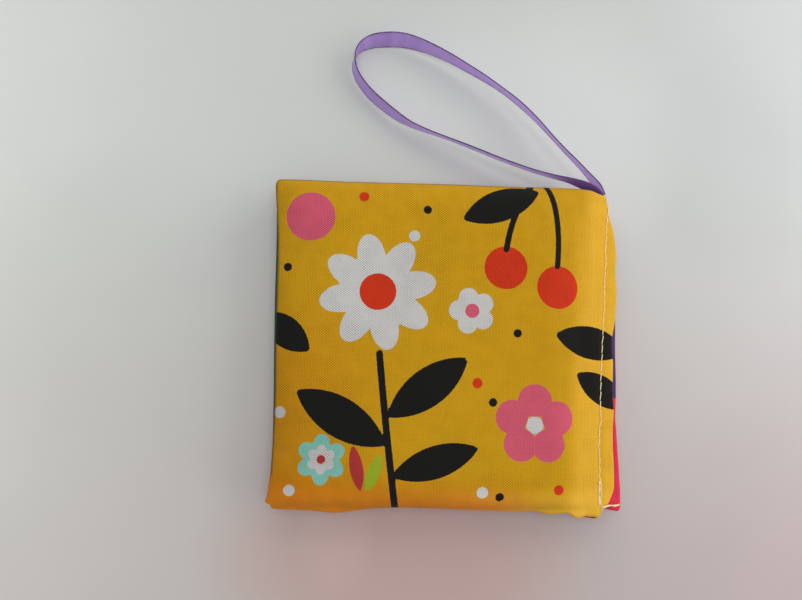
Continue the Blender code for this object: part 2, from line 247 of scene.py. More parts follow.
@dataclass(frozen=True)
class PaintedShadingPatch:
    """An oval on the table of painted light where it lightens and of painted shade where it darkens:
    centre and half sizes in metres, and how strong it is.
    """

    x: float
    y: float
    wide: float
    tall: float
    gain: float

    def share(self, nodes: "Nodes", x: Socket, y: Socket) -> Socket:
        """1 at the oval's centre, eased to 0 at its edge.

        Args:
            nodes: the table's nodes.
            x: places across the table.
            y: places along it.

        Returns:
            The share at each place.
        """
        across = nodes.math("DIVIDE", nodes.math("SUBTRACT", x, self.x), self.wide)
        along = nodes.math("DIVIDE", nodes.math("SUBTRACT", y, self.y), self.tall)
        away = nodes.plus(nodes.times(across, across), nodes.times(along, along))
        return nodes.ranged(away, 0.0, 1.0, 1.0, 0.0, smooth=True)


@dataclass
class Studio:
    """The camera, the light and the pale table that the book lies on."""

    camera_place: tuple[float, float, float] = (-0.0287, -0.0111, 0.2576)
    camera_turn: tuple[float, float, float] = (0.1035, -0.0506, 0.0183)
    focal_pixels: float = 700.0
    image_width: float = 802.0
    sensor: float = 36.0
    table_half: float = 1.6
    table_drop: float = 0.0001
    # The part of the table about the book, and its tone there, a painted falloff of light, at the
    # lower left, lower right, upper left and upper right.
    seen_across: tuple[float, float] = (-0.226, 0.194)
    seen_along: tuple[float, float] = (-0.136, 0.172)
    spread: float = 1.4
    painted_falloff_tones: tuple[Tone, ...] = (
        (0.799, 0.784, 0.760), (0.742, 0.682, 0.676), (0.824, 0.832, 0.810), (0.790, 0.798, 0.788),
    )
    # painted shade about the book: the tone grows with the square of the distance across and falls a
    # little with that along
    painted_shade_side_gain: float = 0.22
    painted_shade_end_gain: float = -0.04
    # a warm painted shadow on the table below the book
    painted_warm_shadow: PaintedShadingPatch = PaintedShadingPatch(-0.015, -0.078, 0.078, 0.042, 0.26)
    painted_warm_shadow_tone: Tone = (0.80, 0.38, 0.30)
    # soft ovals of painted light (gain above 0) and painted shade (gain below 0) on the table
    painted_shading_patches: tuple[PaintedShadingPatch, ...] = (
        PaintedShadingPatch(0.031, 0.084, 0.074, 0.062, 0.11), PaintedShadingPatch(-0.125, 0.012, 0.070, 0.070, -0.05),
        PaintedShadingPatch(-0.038, -0.070, 0.016, 0.024, 0.07), PaintedShadingPatch(0.110, 0.070, 0.045, 0.060, -0.05),
    )
    # Where, by distance from the book's middle, the table turns to an even tone and to a brighter.
    outskirts: tuple[tuple[float, float, Tone], ...] = (
        (0.19, 0.50, (0.72, 0.72, 0.71)), (0.45, 1.20, (0.93, 0.93, 0.92)),
    )
    lamps: tuple[Lamp, ...] = (
        Lamp("window", (0.87, 0.12, 0.37), (0.0, 0.0, 0.0), 1.7, 0.75, 5.6, (1.0, 0.995, 0.985)),
        Lamp("far_window", (0.06, 0.79, 0.52), (0.0, 0.0, 0.0), 1.7, 0.75, 3.3, (1.0, 0.995, 0.985)),
        Lamp("ceiling", (-0.05, 0.0, 1.2), (0.0, 0.0, 0.0), 1.0, 1.0, 5.2, (0.99, 0.995, 1.0)),
    )
    surround: Tone = (0.93, 0.96, 1.0)
    surround_strength: float = 0.27
    seen_tone: Tone = (0.84, 0.84, 0.83)  # of the surround where the camera sees it

    def build_camera(self) -> bpy.types.Object:
        """Makes the camera at the photograph's place.

        Returns:
            The camera object, set as the scene's own.
        """
        data = bpy.data.cameras.new("camera")
        data.sensor_width = self.sensor
        data.lens = self.sensor * self.focal_pixels / self.image_width
        data.clip_start = 0.01
        camera = bpy.data.objects.new("camera", data)
        camera.location = self.camera_place
        camera.rotation_euler = self.camera_turn
        bpy.context.scene.collection.objects.link(camera)
        bpy.context.scene.camera = camera
        return camera

    def build_lights(self) -> None:
        """Makes the lamps, the surrounding light and the plain view settings."""
        for lamp in self.lamps:
            data = bpy.data.lights.new(lamp.name, "AREA")
            data.shape = "ELLIPSE"
            data.size = lamp.wide
            data.size_y = lamp.tall
            data.energy = lamp.power
            data.color = lamp.colour
            obj = bpy.data.objects.new(lamp.name, data)
            obj.location = lamp.place
            direction = np.array(lamp.aim) - np.array(lamp.place)
            flat = math.hypot(direction[0], direction[1])
            obj.rotation_euler = (
                math.atan2(flat, -direction[2]),
                0.0,
                math.atan2(-direction[0], direction[1]),
            )
            bpy.context.scene.collection.objects.link(obj)
        world = bpy.data.worlds.new("studio")
        world.use_nodes = True
        nodes = Nodes(world.node_tree)
        nodes.tree.nodes.clear()
        lit = nodes.add("ShaderNodeBackground")
        lit.inputs["Color"].default_value = (*self.surround, 1.0)
        lit.inputs["Strength"].default_value = self.surround_strength
        seen = nodes.add("ShaderNodeBackground")
        seen.inputs["Color"].default_value = linear(*self.seen_tone)
        path = nodes.add("ShaderNodeLightPath")
        direct = nodes.math("MAXIMUM", path.outputs["Is Camera Ray"], path.outputs["Is Glossy Ray"])
        share = nodes.math("MAXIMUM", direct, path.outputs["Is Transmission Ray"])
        mixed = nodes.add("ShaderNodeMixShader")
        nodes.feed(mixed.inputs[0], share)
        nodes.feed(mixed.inputs[1], lit.outputs[0])
        nodes.feed(mixed.inputs[2], seen.outputs[0])
        out = nodes.add("ShaderNodeOutputWorld")
        nodes.feed(out.inputs["Surface"], mixed.outputs[0])
        bpy.context.scene.world = world
        bpy.context.scene.view_settings.view_transform = "Standard"

    def build_table(self) -> bpy.types.Object:
        """Makes the table top, a wide pale sheet just under the book.

        About the book its tone runs from corner to corner as a painted falloff of light, grows with the
        squares of the distances across and along as painted shade about the book, is a little off in a
        few soft patches of painted light and shade and takes on a warm painted shadow below.
        Further off it is even, and brighter at the last.

        Returns:
            The table.
        """
        half, drop = self.table_half, self.table_drop
        corners = np.array([[-half, -half], [half, -half], [half, half], [-half, half]])
        points = np.column_stack([corners, np.full(4, -drop)])
        table = mesh_object("table_top", points, np.array([[0, 1, 2, 3]]))
        material, nodes, shader = new_material("pale_table")
        place = nodes.add("ShaderNodeTexCoord").outputs["Object"]
        x, y, _ = nodes.split(place)
        across = nodes.ranged(x, *self.seen_across, -self.spread, self.spread)
        along = nodes.ranged(y, *self.seen_along, -self.spread, self.spread)
        right = nodes.ranged(across, -1.0, 1.0, 0.0, 1.0)
        low_left, low_right, high_left, high_right = (linear(*tone) for tone in self.painted_falloff_tones)
        low, high = nodes.mix(right, low_left, low_right), nodes.mix(right, high_left, high_right)
        base = nodes.mix(nodes.ranged(along, -1.0, 0.55, 0.0, 1.0, smooth=True), low, high)
        # the warm painted shadow below the book
        painted_warm_shadow = nodes.times(self.painted_warm_shadow.share(nodes, x, y), self.painted_warm_shadow.gain)
        base = nodes.mix(painted_warm_shadow, base, linear(*self.painted_warm_shadow_tone))
        # painted shade about the book, by the squares of the distances across and along
        gain = nodes.math("MULTIPLY_ADD", nodes.times(across, across), self.painted_shade_side_gain, 1.0)
        gain = nodes.math("MULTIPLY_ADD", nodes.times(along, along), self.painted_shade_end_gain, gain)
        # the ovals of painted light and painted shade
        for patch in self.painted_shading_patches:
            share = patch.share(nodes, x, y)
            gain = nodes.times(gain, nodes.math("MULTIPLY_ADD", share, patch.gain, 1.0))
        base = nodes.scaled(base, gain)
        reach = nodes.math("SQRT", nodes.plus(nodes.times(x, x), nodes.times(y, y)))
        for start, stop, tone in self.outskirts:
            share = nodes.ranged(reach, start, stop, 0.0, 1.0, smooth=True)
            base = nodes.mix(share, base, linear(*tone))
        grain = nodes.ranged(nodes.noise(place, 30.0, 3.0), 0.3, 0.7, 0.985, 1.01)
        nodes.feed(shader.inputs["Base Color"], nodes.scaled(base, grain))
        shader.inputs["Roughness"].default_value = 0.62
        shader.inputs["Specular IOR Level"].default_value = 0.25
        table.data.materials.append(material)
        return table


# ---------------------------------------------------------------- materials


class Nodes:
    """Short calls that add nodes to one node tree and join them."""

    def __init__(self, tree: bpy.types.NodeTree) -> None:
        """Keeps the tree that the nodes go into."""
        self.tree = tree

    def add(self, kind: str, **settings: object) -> bpy.types.Node:
        """A new node of a kind, with its settings."""
        node = self.tree.nodes.new(kind)
        for name, value in settings.items():
            setattr(node, name, value)
        return node

    def feed(self, target: Socket, value: object) -> None:
        """Joins a socket to target, or writes a plain value into it."""
        if isinstance(value, bpy.types.NodeSocket):
            self.tree.links.new(value, target)
        else:
            target.default_value = value

    def math(self, operation: str, *values: object) -> Socket:
        """The result of one sum."""
        node = self.add("ShaderNodeMath", operation=operation)
        for socket, value in zip(node.inputs, values):
            self.feed(socket, value)
        return node.outputs[0]

    def plus(self, first: object, second: object) -> Socket:
        """The sum of two."""
        return self.math("ADD", first, second)

    def times(self, first: object, second: object) -> Socket:
        """The product of two."""
        return self.math("MULTIPLY", first, second)

    def ranged(self, value: object, low: float, high: float, first: float, last: float,
               smooth: bool = False) -> Socket:
        """value carried from low..high to first..last, and held there."""
        node = self.add("ShaderNodeMapRange", interpolation_type="SMOOTHSTEP" if smooth else "LINEAR")
        for socket, number in zip(node.inputs, (value, low, high, first, last)):
            self.feed(socket, number)
        return node.outputs[0]

    def mix(self, share: object, first: object, second: object) -> Socket:
        """A colour between two."""
        node = self.add("ShaderNodeMix", data_type="RGBA")
        for number, value in ((0, share), (6, first), (7, second)):
            self.feed(node.inputs[number], value)
        return node.outputs[2]

    def scaled(self, colour: object, amount: object) -> Socket:
        """A colour made lighter or darker by an amount about 1."""
        node = self.add("ShaderNodeVectorMath", operation="SCALE")
        self.feed(node.inputs[0], colour[:3] if isinstance(colour, tuple) else colour)
        self.feed(node.inputs["Scale"], amount)
        return node.outputs[0]

    def split(self, vector: Socket) -> tuple[Socket, ...]:
        """The three parts of a vector."""
        node = self.add("ShaderNodeSeparateXYZ")
        self.feed(node.inputs[0], vector)
        return tuple(node.outputs)

    def joined(self, x: object, y: object) -> Socket:
        """A flat vector from two parts."""
        node = self.add("ShaderNodeCombineXYZ")
        self.feed(node.inputs[0], x)
        self.feed(node.inputs[1], y)
        return node.outputs[0]

    def noise(self, vector: object, scale: float, detail: float = 2.0) -> Socket:
        """Soft noise between 0 and 1."""
        node = self.add("ShaderNodeTexNoise")
        self.feed(node.inputs["Vector"], vector)
        node.inputs["Scale"].default_value = scale
        node.inputs["Detail"].default_value = detail
        return node.outputs[0]

    def attribute(self, name: str) -> Socket:
        """A number that the mesh carries."""
        return self.add("ShaderNodeAttribute", attribute_name=name).outputs["Fac"]

    def uv_in_mm(self, name: str, across: float, along: float) -> Socket:
        """A UV map laid out in millimetres."""
        node = self.add("ShaderNodeMapping")
        self.feed(node.inputs["Vector"], self.add("ShaderNodeUVMap", uv_map=name).outputs[0])
        node.inputs["Scale"].default_value = (across / MM, along / MM, 1.0)
        return node.outputs[0]

    def bump(self, height: object, depth: float, strength: float) -> Socket:
        """A normal bent by a height of 0 to 1 that stands for depth in metres."""
        node = self.add("ShaderNodeBump")
        node.inputs["Strength"].default_value = strength
        node.inputs["Distance"].default_value = depth
        self.feed(node.inputs["Height"], height)
        return node.outputs[0]


def new_material(name: str) -> tuple[bpy.types.Material, Nodes, bpy.types.Node]:
    """An empty material, its nodes and its shader."""
    material = bpy.data.materials.new(name)
    material.use_nodes = True
    return material, Nodes(material.node_tree), material.node_tree.nodes["Principled BSDF"]


class Cloth(Enum):
    """The grounds that the panels are printed on: the record's slot and the colour."""

    YELLOW = ("yellow_cloth", (0.765, 0.572, 0.035))
    GREEN = ("green_cloth", (0.10, 0.38, 0.23))
    PURPLE = ("purple_cloth", (0.31, 0.20, 0.38))
    PINK = ("pink_cloth", (0.90, 0.25, 0.39))
    RED = ("red_cloth", (0.80, 0.20, 0.12))

    @property
    def slot(self) -> str:
        """The record's material slot."""
        return self.value[0]

    @property
    def colour(self) -> Light:
        """The ground's colour in light values."""
        return linear(*self.value[1])

    @property
    def tanned(self) -> Light:
        """The ground's warmer colour, painted as warm light on the lowest strip and as shade at the
        left.
        """
        red, green, blue = self.value[1]
        return linear(red * 1.02, green * 0.80, blue * 0.15)


class Ink(Enum):
    """The printing inks, in the order in which they are laid on."""

    PINK_FIELD = ("ink_pink_field", (0.87, 0.20, 0.31))
    AQUA = ("ink_aqua", (0.50, 0.73, 0.67))
    WHITE = ("ink_white", (0.765, 0.755, 0.74))
    PINK = ("ink_pink", (0.79, 0.33, 0.41))
    LIME = ("ink_lime", (0.58, 0.65, 0.13))
    WINE = ("ink_wine", (0.66, 0.20, 0.18))
    YELLOW = ("ink_yellow", (0.80, 0.61, 0.12))
    GREEN = ("ink_green", (0.16, 0.50, 0.30))
    RED = ("ink_red", (0.77, 0.19, 0.06))
    BLACK = ("ink_black", (0.03, 0.025, 0.02))

    @property
    def attribute(self) -> str:
        """The mesh attribute that holds the distance to this ink's edge in millimetres."""
        return self.value[0]

    @property
    def colour(self) -> Light:
        """The ink's colour in light values."""
        return linear(*self.value[1])


@dataclass(frozen=True)
class PrintedCotton:
    """Printed plain-weave cotton: each yarn goes over one crossing yarn and under the next."""

    warp_pitch: float = 0.52  # mm
    weft_pitch: float = 0.42  # mm
    waver: float = 0.14  # mm that the yarns wander
    dot_depth: float = 0.56  # how much darker the weft is than the warp
    crown_painted_highlight: float = 0.34  # painted highlight: how much lighter the yarns' crowns are
    clearness: tuple[float, float] = (0.28, 1.22)  # of the weave, where it is faint and where plain
    slub: float = 0.09
    mottle: float = 0.04
    rim_painted_shade: float = 0.60  # painted shade: how much darker the cloth's edge is
    base_tone: float = 1.10
    # painted light and shade read from the mesh: how much they lift the tone, and how much they whiten
    # the colour
    painted_light_and_shade_gain: float = 0.29
    painted_light_whitening: float = 0.012
    fray: float = 0.10  # mm that an ink's edge wanders
    ink_edge: float = 0.11  # mm over which an ink gives out
    bump_depth: float = 0.00012

    def weave(self, nodes: Nodes, place: Socket) -> tuple[Socket, ...]:
        """The weave's height and where the weft is on top.

        In each cell of the weave the upper yarn's crown is (1 - u^2)(1 - v^2 / 2), with u from -1 to
        1 across the yarn and v from -1 to 1 along it. The weft is on top where the cell's two
        numbers add up to an odd one.

        Args:
            nodes: the material's nodes.
            place: where on the cloth, in mm.

        Returns:
            The height from 0 to 1, and 1 where the weft is on top.
        """
        x, y, _ = nodes.split(place)
        wander_x = nodes.ranged(nodes.noise(place, 0.21, 3.0), 0.0, 1.0, -self.waver, self.waver)
        wander_y = nodes.ranged(nodes.noise(place, 0.33, 3.0), 0.0, 1.0, -self.waver, self.waver)
        warp = nodes.math("DIVIDE", nodes.plus(x, wander_x), self.warp_pitch)
        weft = nodes.math("DIVIDE", nodes.plus(y, wander_y), self.weft_pitch)
        squares = []
        for line in (warp, weft):
            centred = nodes.math("MULTIPLY_ADD", nodes.math("FRACT", line), 2.0, -1.0)
            squares.append(nodes.times(centred, centred))
        crowns = []
        for across, along in (squares, squares[::-1]):
            crowns.append(nodes.times(nodes.math("SUBTRACT", 1.0, across),
                                      nodes.math("MULTIPLY_ADD", along, -0.5, 1.0)))
        count = nodes.plus(nodes.math("FLOOR", warp), nodes.math("FLOOR", weft))
        odd = nodes.math("FLOORED_MODULO", count, 2.0)
        difference = nodes.math("SUBTRACT", crowns[1], crowns[0])
        return nodes.math("MULTIPLY_ADD", odd, difference, crowns[0]), odd

    def material(self, name: str, ground: Cloth, inks: tuple[Ink, ...]) -> bpy.types.Material:
        """A cloth of one ground with its inks.

        Args:
            name: the material's name.
            ground: the cloth's own colour.
            inks: those that its mesh has distances for.

        Returns:
            The material.
        """
        material, nodes, shader = new_material(name)
        place = nodes.uv_in_mm("cloth", CLOTH_SPAN, CLOTH_SPAN)
        height, weft = self.weave(nodes, place)
        fray = nodes.ranged(nodes.noise(place, 1.9, 2.0), 0.25, 0.75, -self.fray, self.fray)
        # painted light along the spine and the lower edge, and painted shade at the left, read from the
        # mesh
        faded = nodes.attribute("faded")
        # a warmer colour painted as warm light on the lowest strip and as shade at the left
        colour = nodes.mix(nodes.attribute("tanned"), ground.colour, ground.tanned)
        colour = nodes.mix(nodes.times(faded, self.painted_light_whitening), colour, (1.0, 1.0, 1.0, 1.0))
        for ink in inks:
            distance = nodes.plus(nodes.attribute(ink.attribute), fray)
            share = nodes.ranged(distance, -self.ink_edge, self.ink_edge, 1.0, 0.0, smooth=True)
            colour = nodes.mix(share, colour, ink.colour)
        clear = nodes.ranged(nodes.noise(place, 0.16, 5.0), 0.36, 0.62, *self.clearness)
        clear = nodes.times(clear, nodes.math("SUBTRACT", 1.0, nodes.attribute("smoothed")))
        dark = nodes.times(nodes.times(weft, clear), -self.dot_depth)
        # painted highlight on the yarns' crowns
        light = nodes.times(nodes.times(height, clear), self.crown_painted_highlight)
        slub = nodes.ranged(nodes.noise(place, 2.4, 2.0), 0.25, 0.75, -self.slub, self.slub)
        cloud = nodes.ranged(nodes.noise(place, 0.035, 3.0), 0.3, 0.7, -self.mottle, self.mottle)
        # painted shade along the cloth's rim
        edge = nodes.ranged(nodes.attribute("rim"), 0.1, 1.1, -self.rim_painted_shade, 0.0, smooth=True)
        tone = nodes.math("MULTIPLY_ADD", faded, self.painted_light_and_shade_gain, self.base_tone)
        for part in (dark, light, slub, cloud, edge):
            tone = nodes.plus(tone, part)
        nodes.feed(shader.inputs["Base Color"], nodes.scaled(colour, tone))
        fibre = nodes.math("MULTIPLY_ADD", nodes.noise(place, 5.0, 3.0), 0.35, height)
        nodes.feed(shader.inputs["Normal"], nodes.bump(fibre, self.bump_depth, 0.5))
        nodes.feed(shader.inputs["Roughness"], nodes.ranged(height, 0.0, 1.0, 0.95, 0.82))
        shader.inputs["Specular IOR Level"].default_value = 0.20
        shader.inputs["Sheen Weight"].default_value = 0.05
        shader.inputs["Sheen Roughness"].default_value = 0.5
        return material


@dataclass(frozen=True)
class Satin:
    """Lilac satin ribbon: long floats along it, fine cross ribs and a dense dark selvedge."""

    colour: Tone = (0.70, 0.58, 0.82)
    selvedge: Tone = (0.36, 0.28, 0.46)
    # painted sheen where the ribbon is creased
    crease: Tone = (0.77, 0.67, 0.88)
    deep: Tone = (0.61, 0.48, 0.71)  # painted shade where it is folded shut at the seam
    through: Tone = (0.87, 0.80, 0.94)
    through_share: float = 0.58
    width_mm: float = 6.0
    rib_pitch: float = 0.42  # mm
    selvedge_from: tuple[float, float] = (2.92, 2.62)  # mm from the middle, where it wavers

    def material(self) -> bpy.types.Material:
        """Returns the ribbon's material, which reads the UV map along and across the band."""
        material, nodes, shader = new_material("lilac_satin")
        place = nodes.uv_in_mm("band", BAND_SPAN, self.width_mm * MM)
        along, across, _ = nodes.split(place)
        from_middle = nodes.math("ABSOLUTE", nodes.math("SUBTRACT", across, self.width_mm / 2))
        ribs = nodes.math("SINE", nodes.times(along, 2 * math.pi / self.rib_pitch))
        drawn_out = nodes.joined(nodes.times(along, 0.35), nodes.times(across, 4.0))
        floats = nodes.noise(drawn_out, 1.0, 3.0)
        picots = nodes.noise(nodes.joined(nodes.times(along, 1.1), across), 1.0, 2.0)
        reach = nodes.ranged(picots, 0.35, 0.65, *self.selvedge_from)
        edge = nodes.ranged(nodes.math("SUBTRACT", from_middle, reach), -0.05, 0.06, 0.0, 1.0, True)
        # lighter painted sheen along the creases
        base = nodes.mix(nodes.attribute("crease"), linear(*self.colour), linear(*self.crease))
        tone = nodes.plus(nodes.ranged(floats, 0.3, 0.7, 0.94, 1.05), nodes.times(ribs, 0.012))
        selvedge, deep, folded = linear(*self.selvedge), linear(*self.deep), nodes.attribute("folded")
        # painted shade where the ribbon is folded shut
        base = nodes.mix(folded, nodes.mix(edge, nodes.scaled(base, tone), selvedge), deep)
        nodes.feed(shader.inputs["Base Color"], base)
        passing = nodes.add("ShaderNodeBsdfTranslucent")
        glow = nodes.mix(edge, nodes.scaled(linear(*self.through), tone), selvedge)
        nodes.feed(passing.inputs["Color"], nodes.mix(folded, glow, deep))
        both = nodes.add("ShaderNodeMixShader")
        both.inputs[0].default_value = self.through_share
        nodes.feed(both.inputs[1], shader.outputs[0])
        nodes.feed(both.inputs[2], passing.outputs[0])
        nodes.feed(material.node_tree.nodes["Material Output"].inputs["Surface"], both.outputs[0])
        height = nodes.plus(nodes.times(ribs, 0.3), nodes.plus(nodes.times(floats, 0.7), edge))
        nodes.feed(shader.inputs["Normal"], nodes.bump(height, 0.00005, 0.5))
        nodes.feed(shader.inputs["Roughness"], nodes.ranged(floats, 0.3, 0.7, 0.36, 0.50))
        shader.inputs["Specular IOR Level"].default_value = 0.45
        shader.inputs["Anisotropic"].default_value = 0.35
        shader.inputs["Sheen Weight"].default_value = 0.25
        shader.inputs["Sheen Roughness"].default_value = 0.35
        return material


@dataclass(frozen=True)
class SpunThread:
    """Off-white sewing thread, its plies twisted round each other."""

    colour: Tone = (1.0, 0.91, 0.72)
    shade: Tone = (0.98, 0.85, 0.61)

    def material(self) -> bpy.types.Material:
        """Returns the thread's material; its plies run at a slant over the UV map's two turns."""
        material, nodes, shader = new_material("white_thread")
        along, around, _ = nodes.split(nodes.add("ShaderNodeUVMap", uv_map="thread").outputs[0])
        ply = nodes.plus(along, nodes.times(around, 2.0))
        wave = nodes.math("SINE", nodes.times(ply, 2 * math.pi))
        share = nodes.ranged(wave, -1.0, 0.3, 0.0, 1.0, smooth=True)
        colour = nodes.mix(share, linear(*self.shade), linear(*self.colour))
        nodes.feed(shader.inputs["Base Color"], colour)
        nodes.feed(shader.inputs["Normal"], nodes.bump(wave, 0.00006, 0.6))
        fuzz = nodes.ranged(nodes.noise(nodes.add("ShaderNodeTexCoord").outputs["Object"], 4000.0),
                            0.3, 0.7, 0.7, 0.9)
        nodes.feed(shader.inputs["Roughness"], fuzz)
        shader.inputs["Sheen Weight"].default_value = 0.3
        return material


@dataclass(frozen=True)
class Filling:
    """What is inside a leaf: white wadding, and a clear crackling film over it."""

    def wadding(self) -> bpy.types.Material:
        """Returns matted white fibre."""
        material, nodes, shader = new_material("white_wadding")
        place = nodes.add("ShaderNodeTexCoord").outputs["Object"]
        clumps = nodes.noise(place, 160.0, 5.0)
        strands = nodes.noise(place, 1400.0, 4.0)
        tone = nodes.times(nodes.ranged(clumps, 0.3, 0.7, 0.86, 1.04),
                           nodes.ranged(strands, 0.3, 0.7, 0.90, 1.05))
        nodes.feed(shader.inputs["Base Color"], nodes.scaled(linear(0.93, 0.92, 0.90), tone))
        nodes.feed(shader.inputs["Normal"], nodes.bump(strands, 0.0003, 0.7))
        nodes.feed(shader.inputs["Roughness"], nodes.ranged(strands, 0.3, 0.7, 0.88, 1.0))
        shader.inputs["Sheen Weight"].default_value = 0.4
        return material

    def film(self) -> bpy.types.Material:
        """Returns thin clear plastic with fine cracks."""
        material, nodes, shader = new_material("crinkle_film")
        place = nodes.add("ShaderNodeTexCoord").outputs["Object"]
        cells = nodes.add("ShaderNodeTexVoronoi", feature="DISTANCE_TO_EDGE")
        nodes.feed(cells.inputs["Vector"], place)
        cells.inputs["Scale"].default_value = 260.0
        line = nodes.ranged(cells.outputs[0], 0.0, 0.12, 1.0, 0.0)
        nodes.feed(shader.inputs["Base Color"], nodes.mix(line, linear(0.88, 0.90, 0.92),
                                                          linear(0.97, 0.98, 1.0)))
        nodes.feed(shader.inputs["Normal"], nodes.bump(line, 0.0001, 0.5))
        nodes.feed(shader.inputs["Roughness"], nodes.ranged(line, 0.0, 1.0, 0.12, 0.35))
        shader.inputs["Transmission Weight"].default_value = 0.6
        shader.inputs["IOR"].default_value = 1.49
        return material


# ---------------------------------------------------------------- the print


class Shape(Enum):
    """The printed shapes."""

    DISC = "disc"
    FLOWER = "flower"
    LEAF = "leaf"
    STEM = "stem"
    STAR = "star"
    MOON = "moon"
    FIELD = "field"


@dataclass(frozen=True)
class Motif:
    """One printed shape. Places and sizes are millimetres on the cloth."""

    ink: Ink
    shape: Shape
    at: tuple[float, float]
    size: float
    to: tuple[float, float] = (0.0, 0.0)
    bend: tuple[float, float] = (0.0, 0.0)
    lobes: int = 5
    turn: float = 0.0

    def distance(self, x: Array, y: Array) -> Array:
        """Signed distance to the shape's edge, below 0 inside.

        A disc is |p - c| - r. A flower is the nearest of its petals, each an ellipse, after the
        angle is folded into one petal's share. A leaf is |s| - w (1 - (2t - 1)^2) / 2 about its own
        line. A stem is the distance to a bent line. A star is r less a cosine of its points, a moon
        is one disc without another, and a field is all below a wavy line.

        Args:
            x: places across the cloth in mm.
            y: places along the cloth in mm.

        Returns:
            The distance at each place.
        """
        across, up = x - self.at[0], y - self.at[1]
        radius, angle = np.hypot(across, up), np.arctan2(up, across) - self.turn
        if self.shape is Shape.DISC:
            return radius - self.size
        if self.shape is Shape.FLOWER:
            share = 2 * math.pi / self.lobes
            folded = np.mod(angle + share / 2, share) - share / 2
            out, side = radius * np.cos(folded), radius * np.sin(folded)
            long_half, middle = 0.40 * self.size, 0.60 * self.size
            short_half = middle * math.tan(share / 2) * 0.96
            return (np.hypot((out - middle) / long_half, side / short_half) - 1) * short_half
        if self.shape is Shape.LEAF:
            run = np.array(self.to) - np.array(self.at)
            length = math.hypot(*run)
            t = (across * run[0] + up * run[1]) / length**2
            s = (up * run[0] - across * run[1]) / length
            belly = np.where((t > 0) & (t < 1), 4 * t * (1 - t), -2 * np.abs(t - 0.5))
            return np.abs(s) - self.size / 2 * np.sign(belly) * np.abs(belly) ** 0.85
        if self.shape is Shape.STEM:
            t = np.linspace(0, 1, 140)
            line = (np.outer((1 - t) ** 2, self.at) + np.outer(2 * t * (1 - t), self.bend)
                    + np.outer(t**2, self.to))
            nearest = np.full(x.shape, np.inf)
            for px, py in line:
                nearest = np.minimum(nearest, np.hypot(x - px, y - py))
            return nearest - self.size / 2
        if self.shape is Shape.STAR:
            return (radius - self.size * (0.74 + 0.26 * np.cos(self.lobes * angle))) * 0.8
        if self.shape is Shape.MOON:
            cut = np.hypot(across - self.size * 0.45, up - self.size * 0.2) - self.size * 0.85
            return np.maximum(radius - self.size, -cut)
        return up - self.size * np.sin(x / 9.0)


class Print:
    """The motifs of one cloth panel."""

    def __init__(self, *motifs: Motif) -> None:
        """Keeps the motifs of one panel."""
        self.motifs = motifs

    @property
    def inks(self) -> tuple[Ink, ...]:
        """The inks in use, in printing order."""
        return tuple(ink for ink in Ink if any(motif.ink is ink for motif in self.motifs))

    def lay_on(self, mesh: bpy.types.Mesh, x: Array, y: Array) -> None:
        """Stores each ink's distance at places x, y in mm, the least over its motifs."""
        for ink in self.inks:
            layers = [motif.distance(x, y) for motif in self.motifs if motif.ink is ink]
            put_attribute(mesh, ink.attribute, np.minimum.reduce(layers))


def spray(ink: Ink, size: float, places: Line) -> tuple[Motif, ...]:
    """Discs of one size at several places."""
    return tuple(Motif(ink, Shape.DISC, place, size) for place in places)


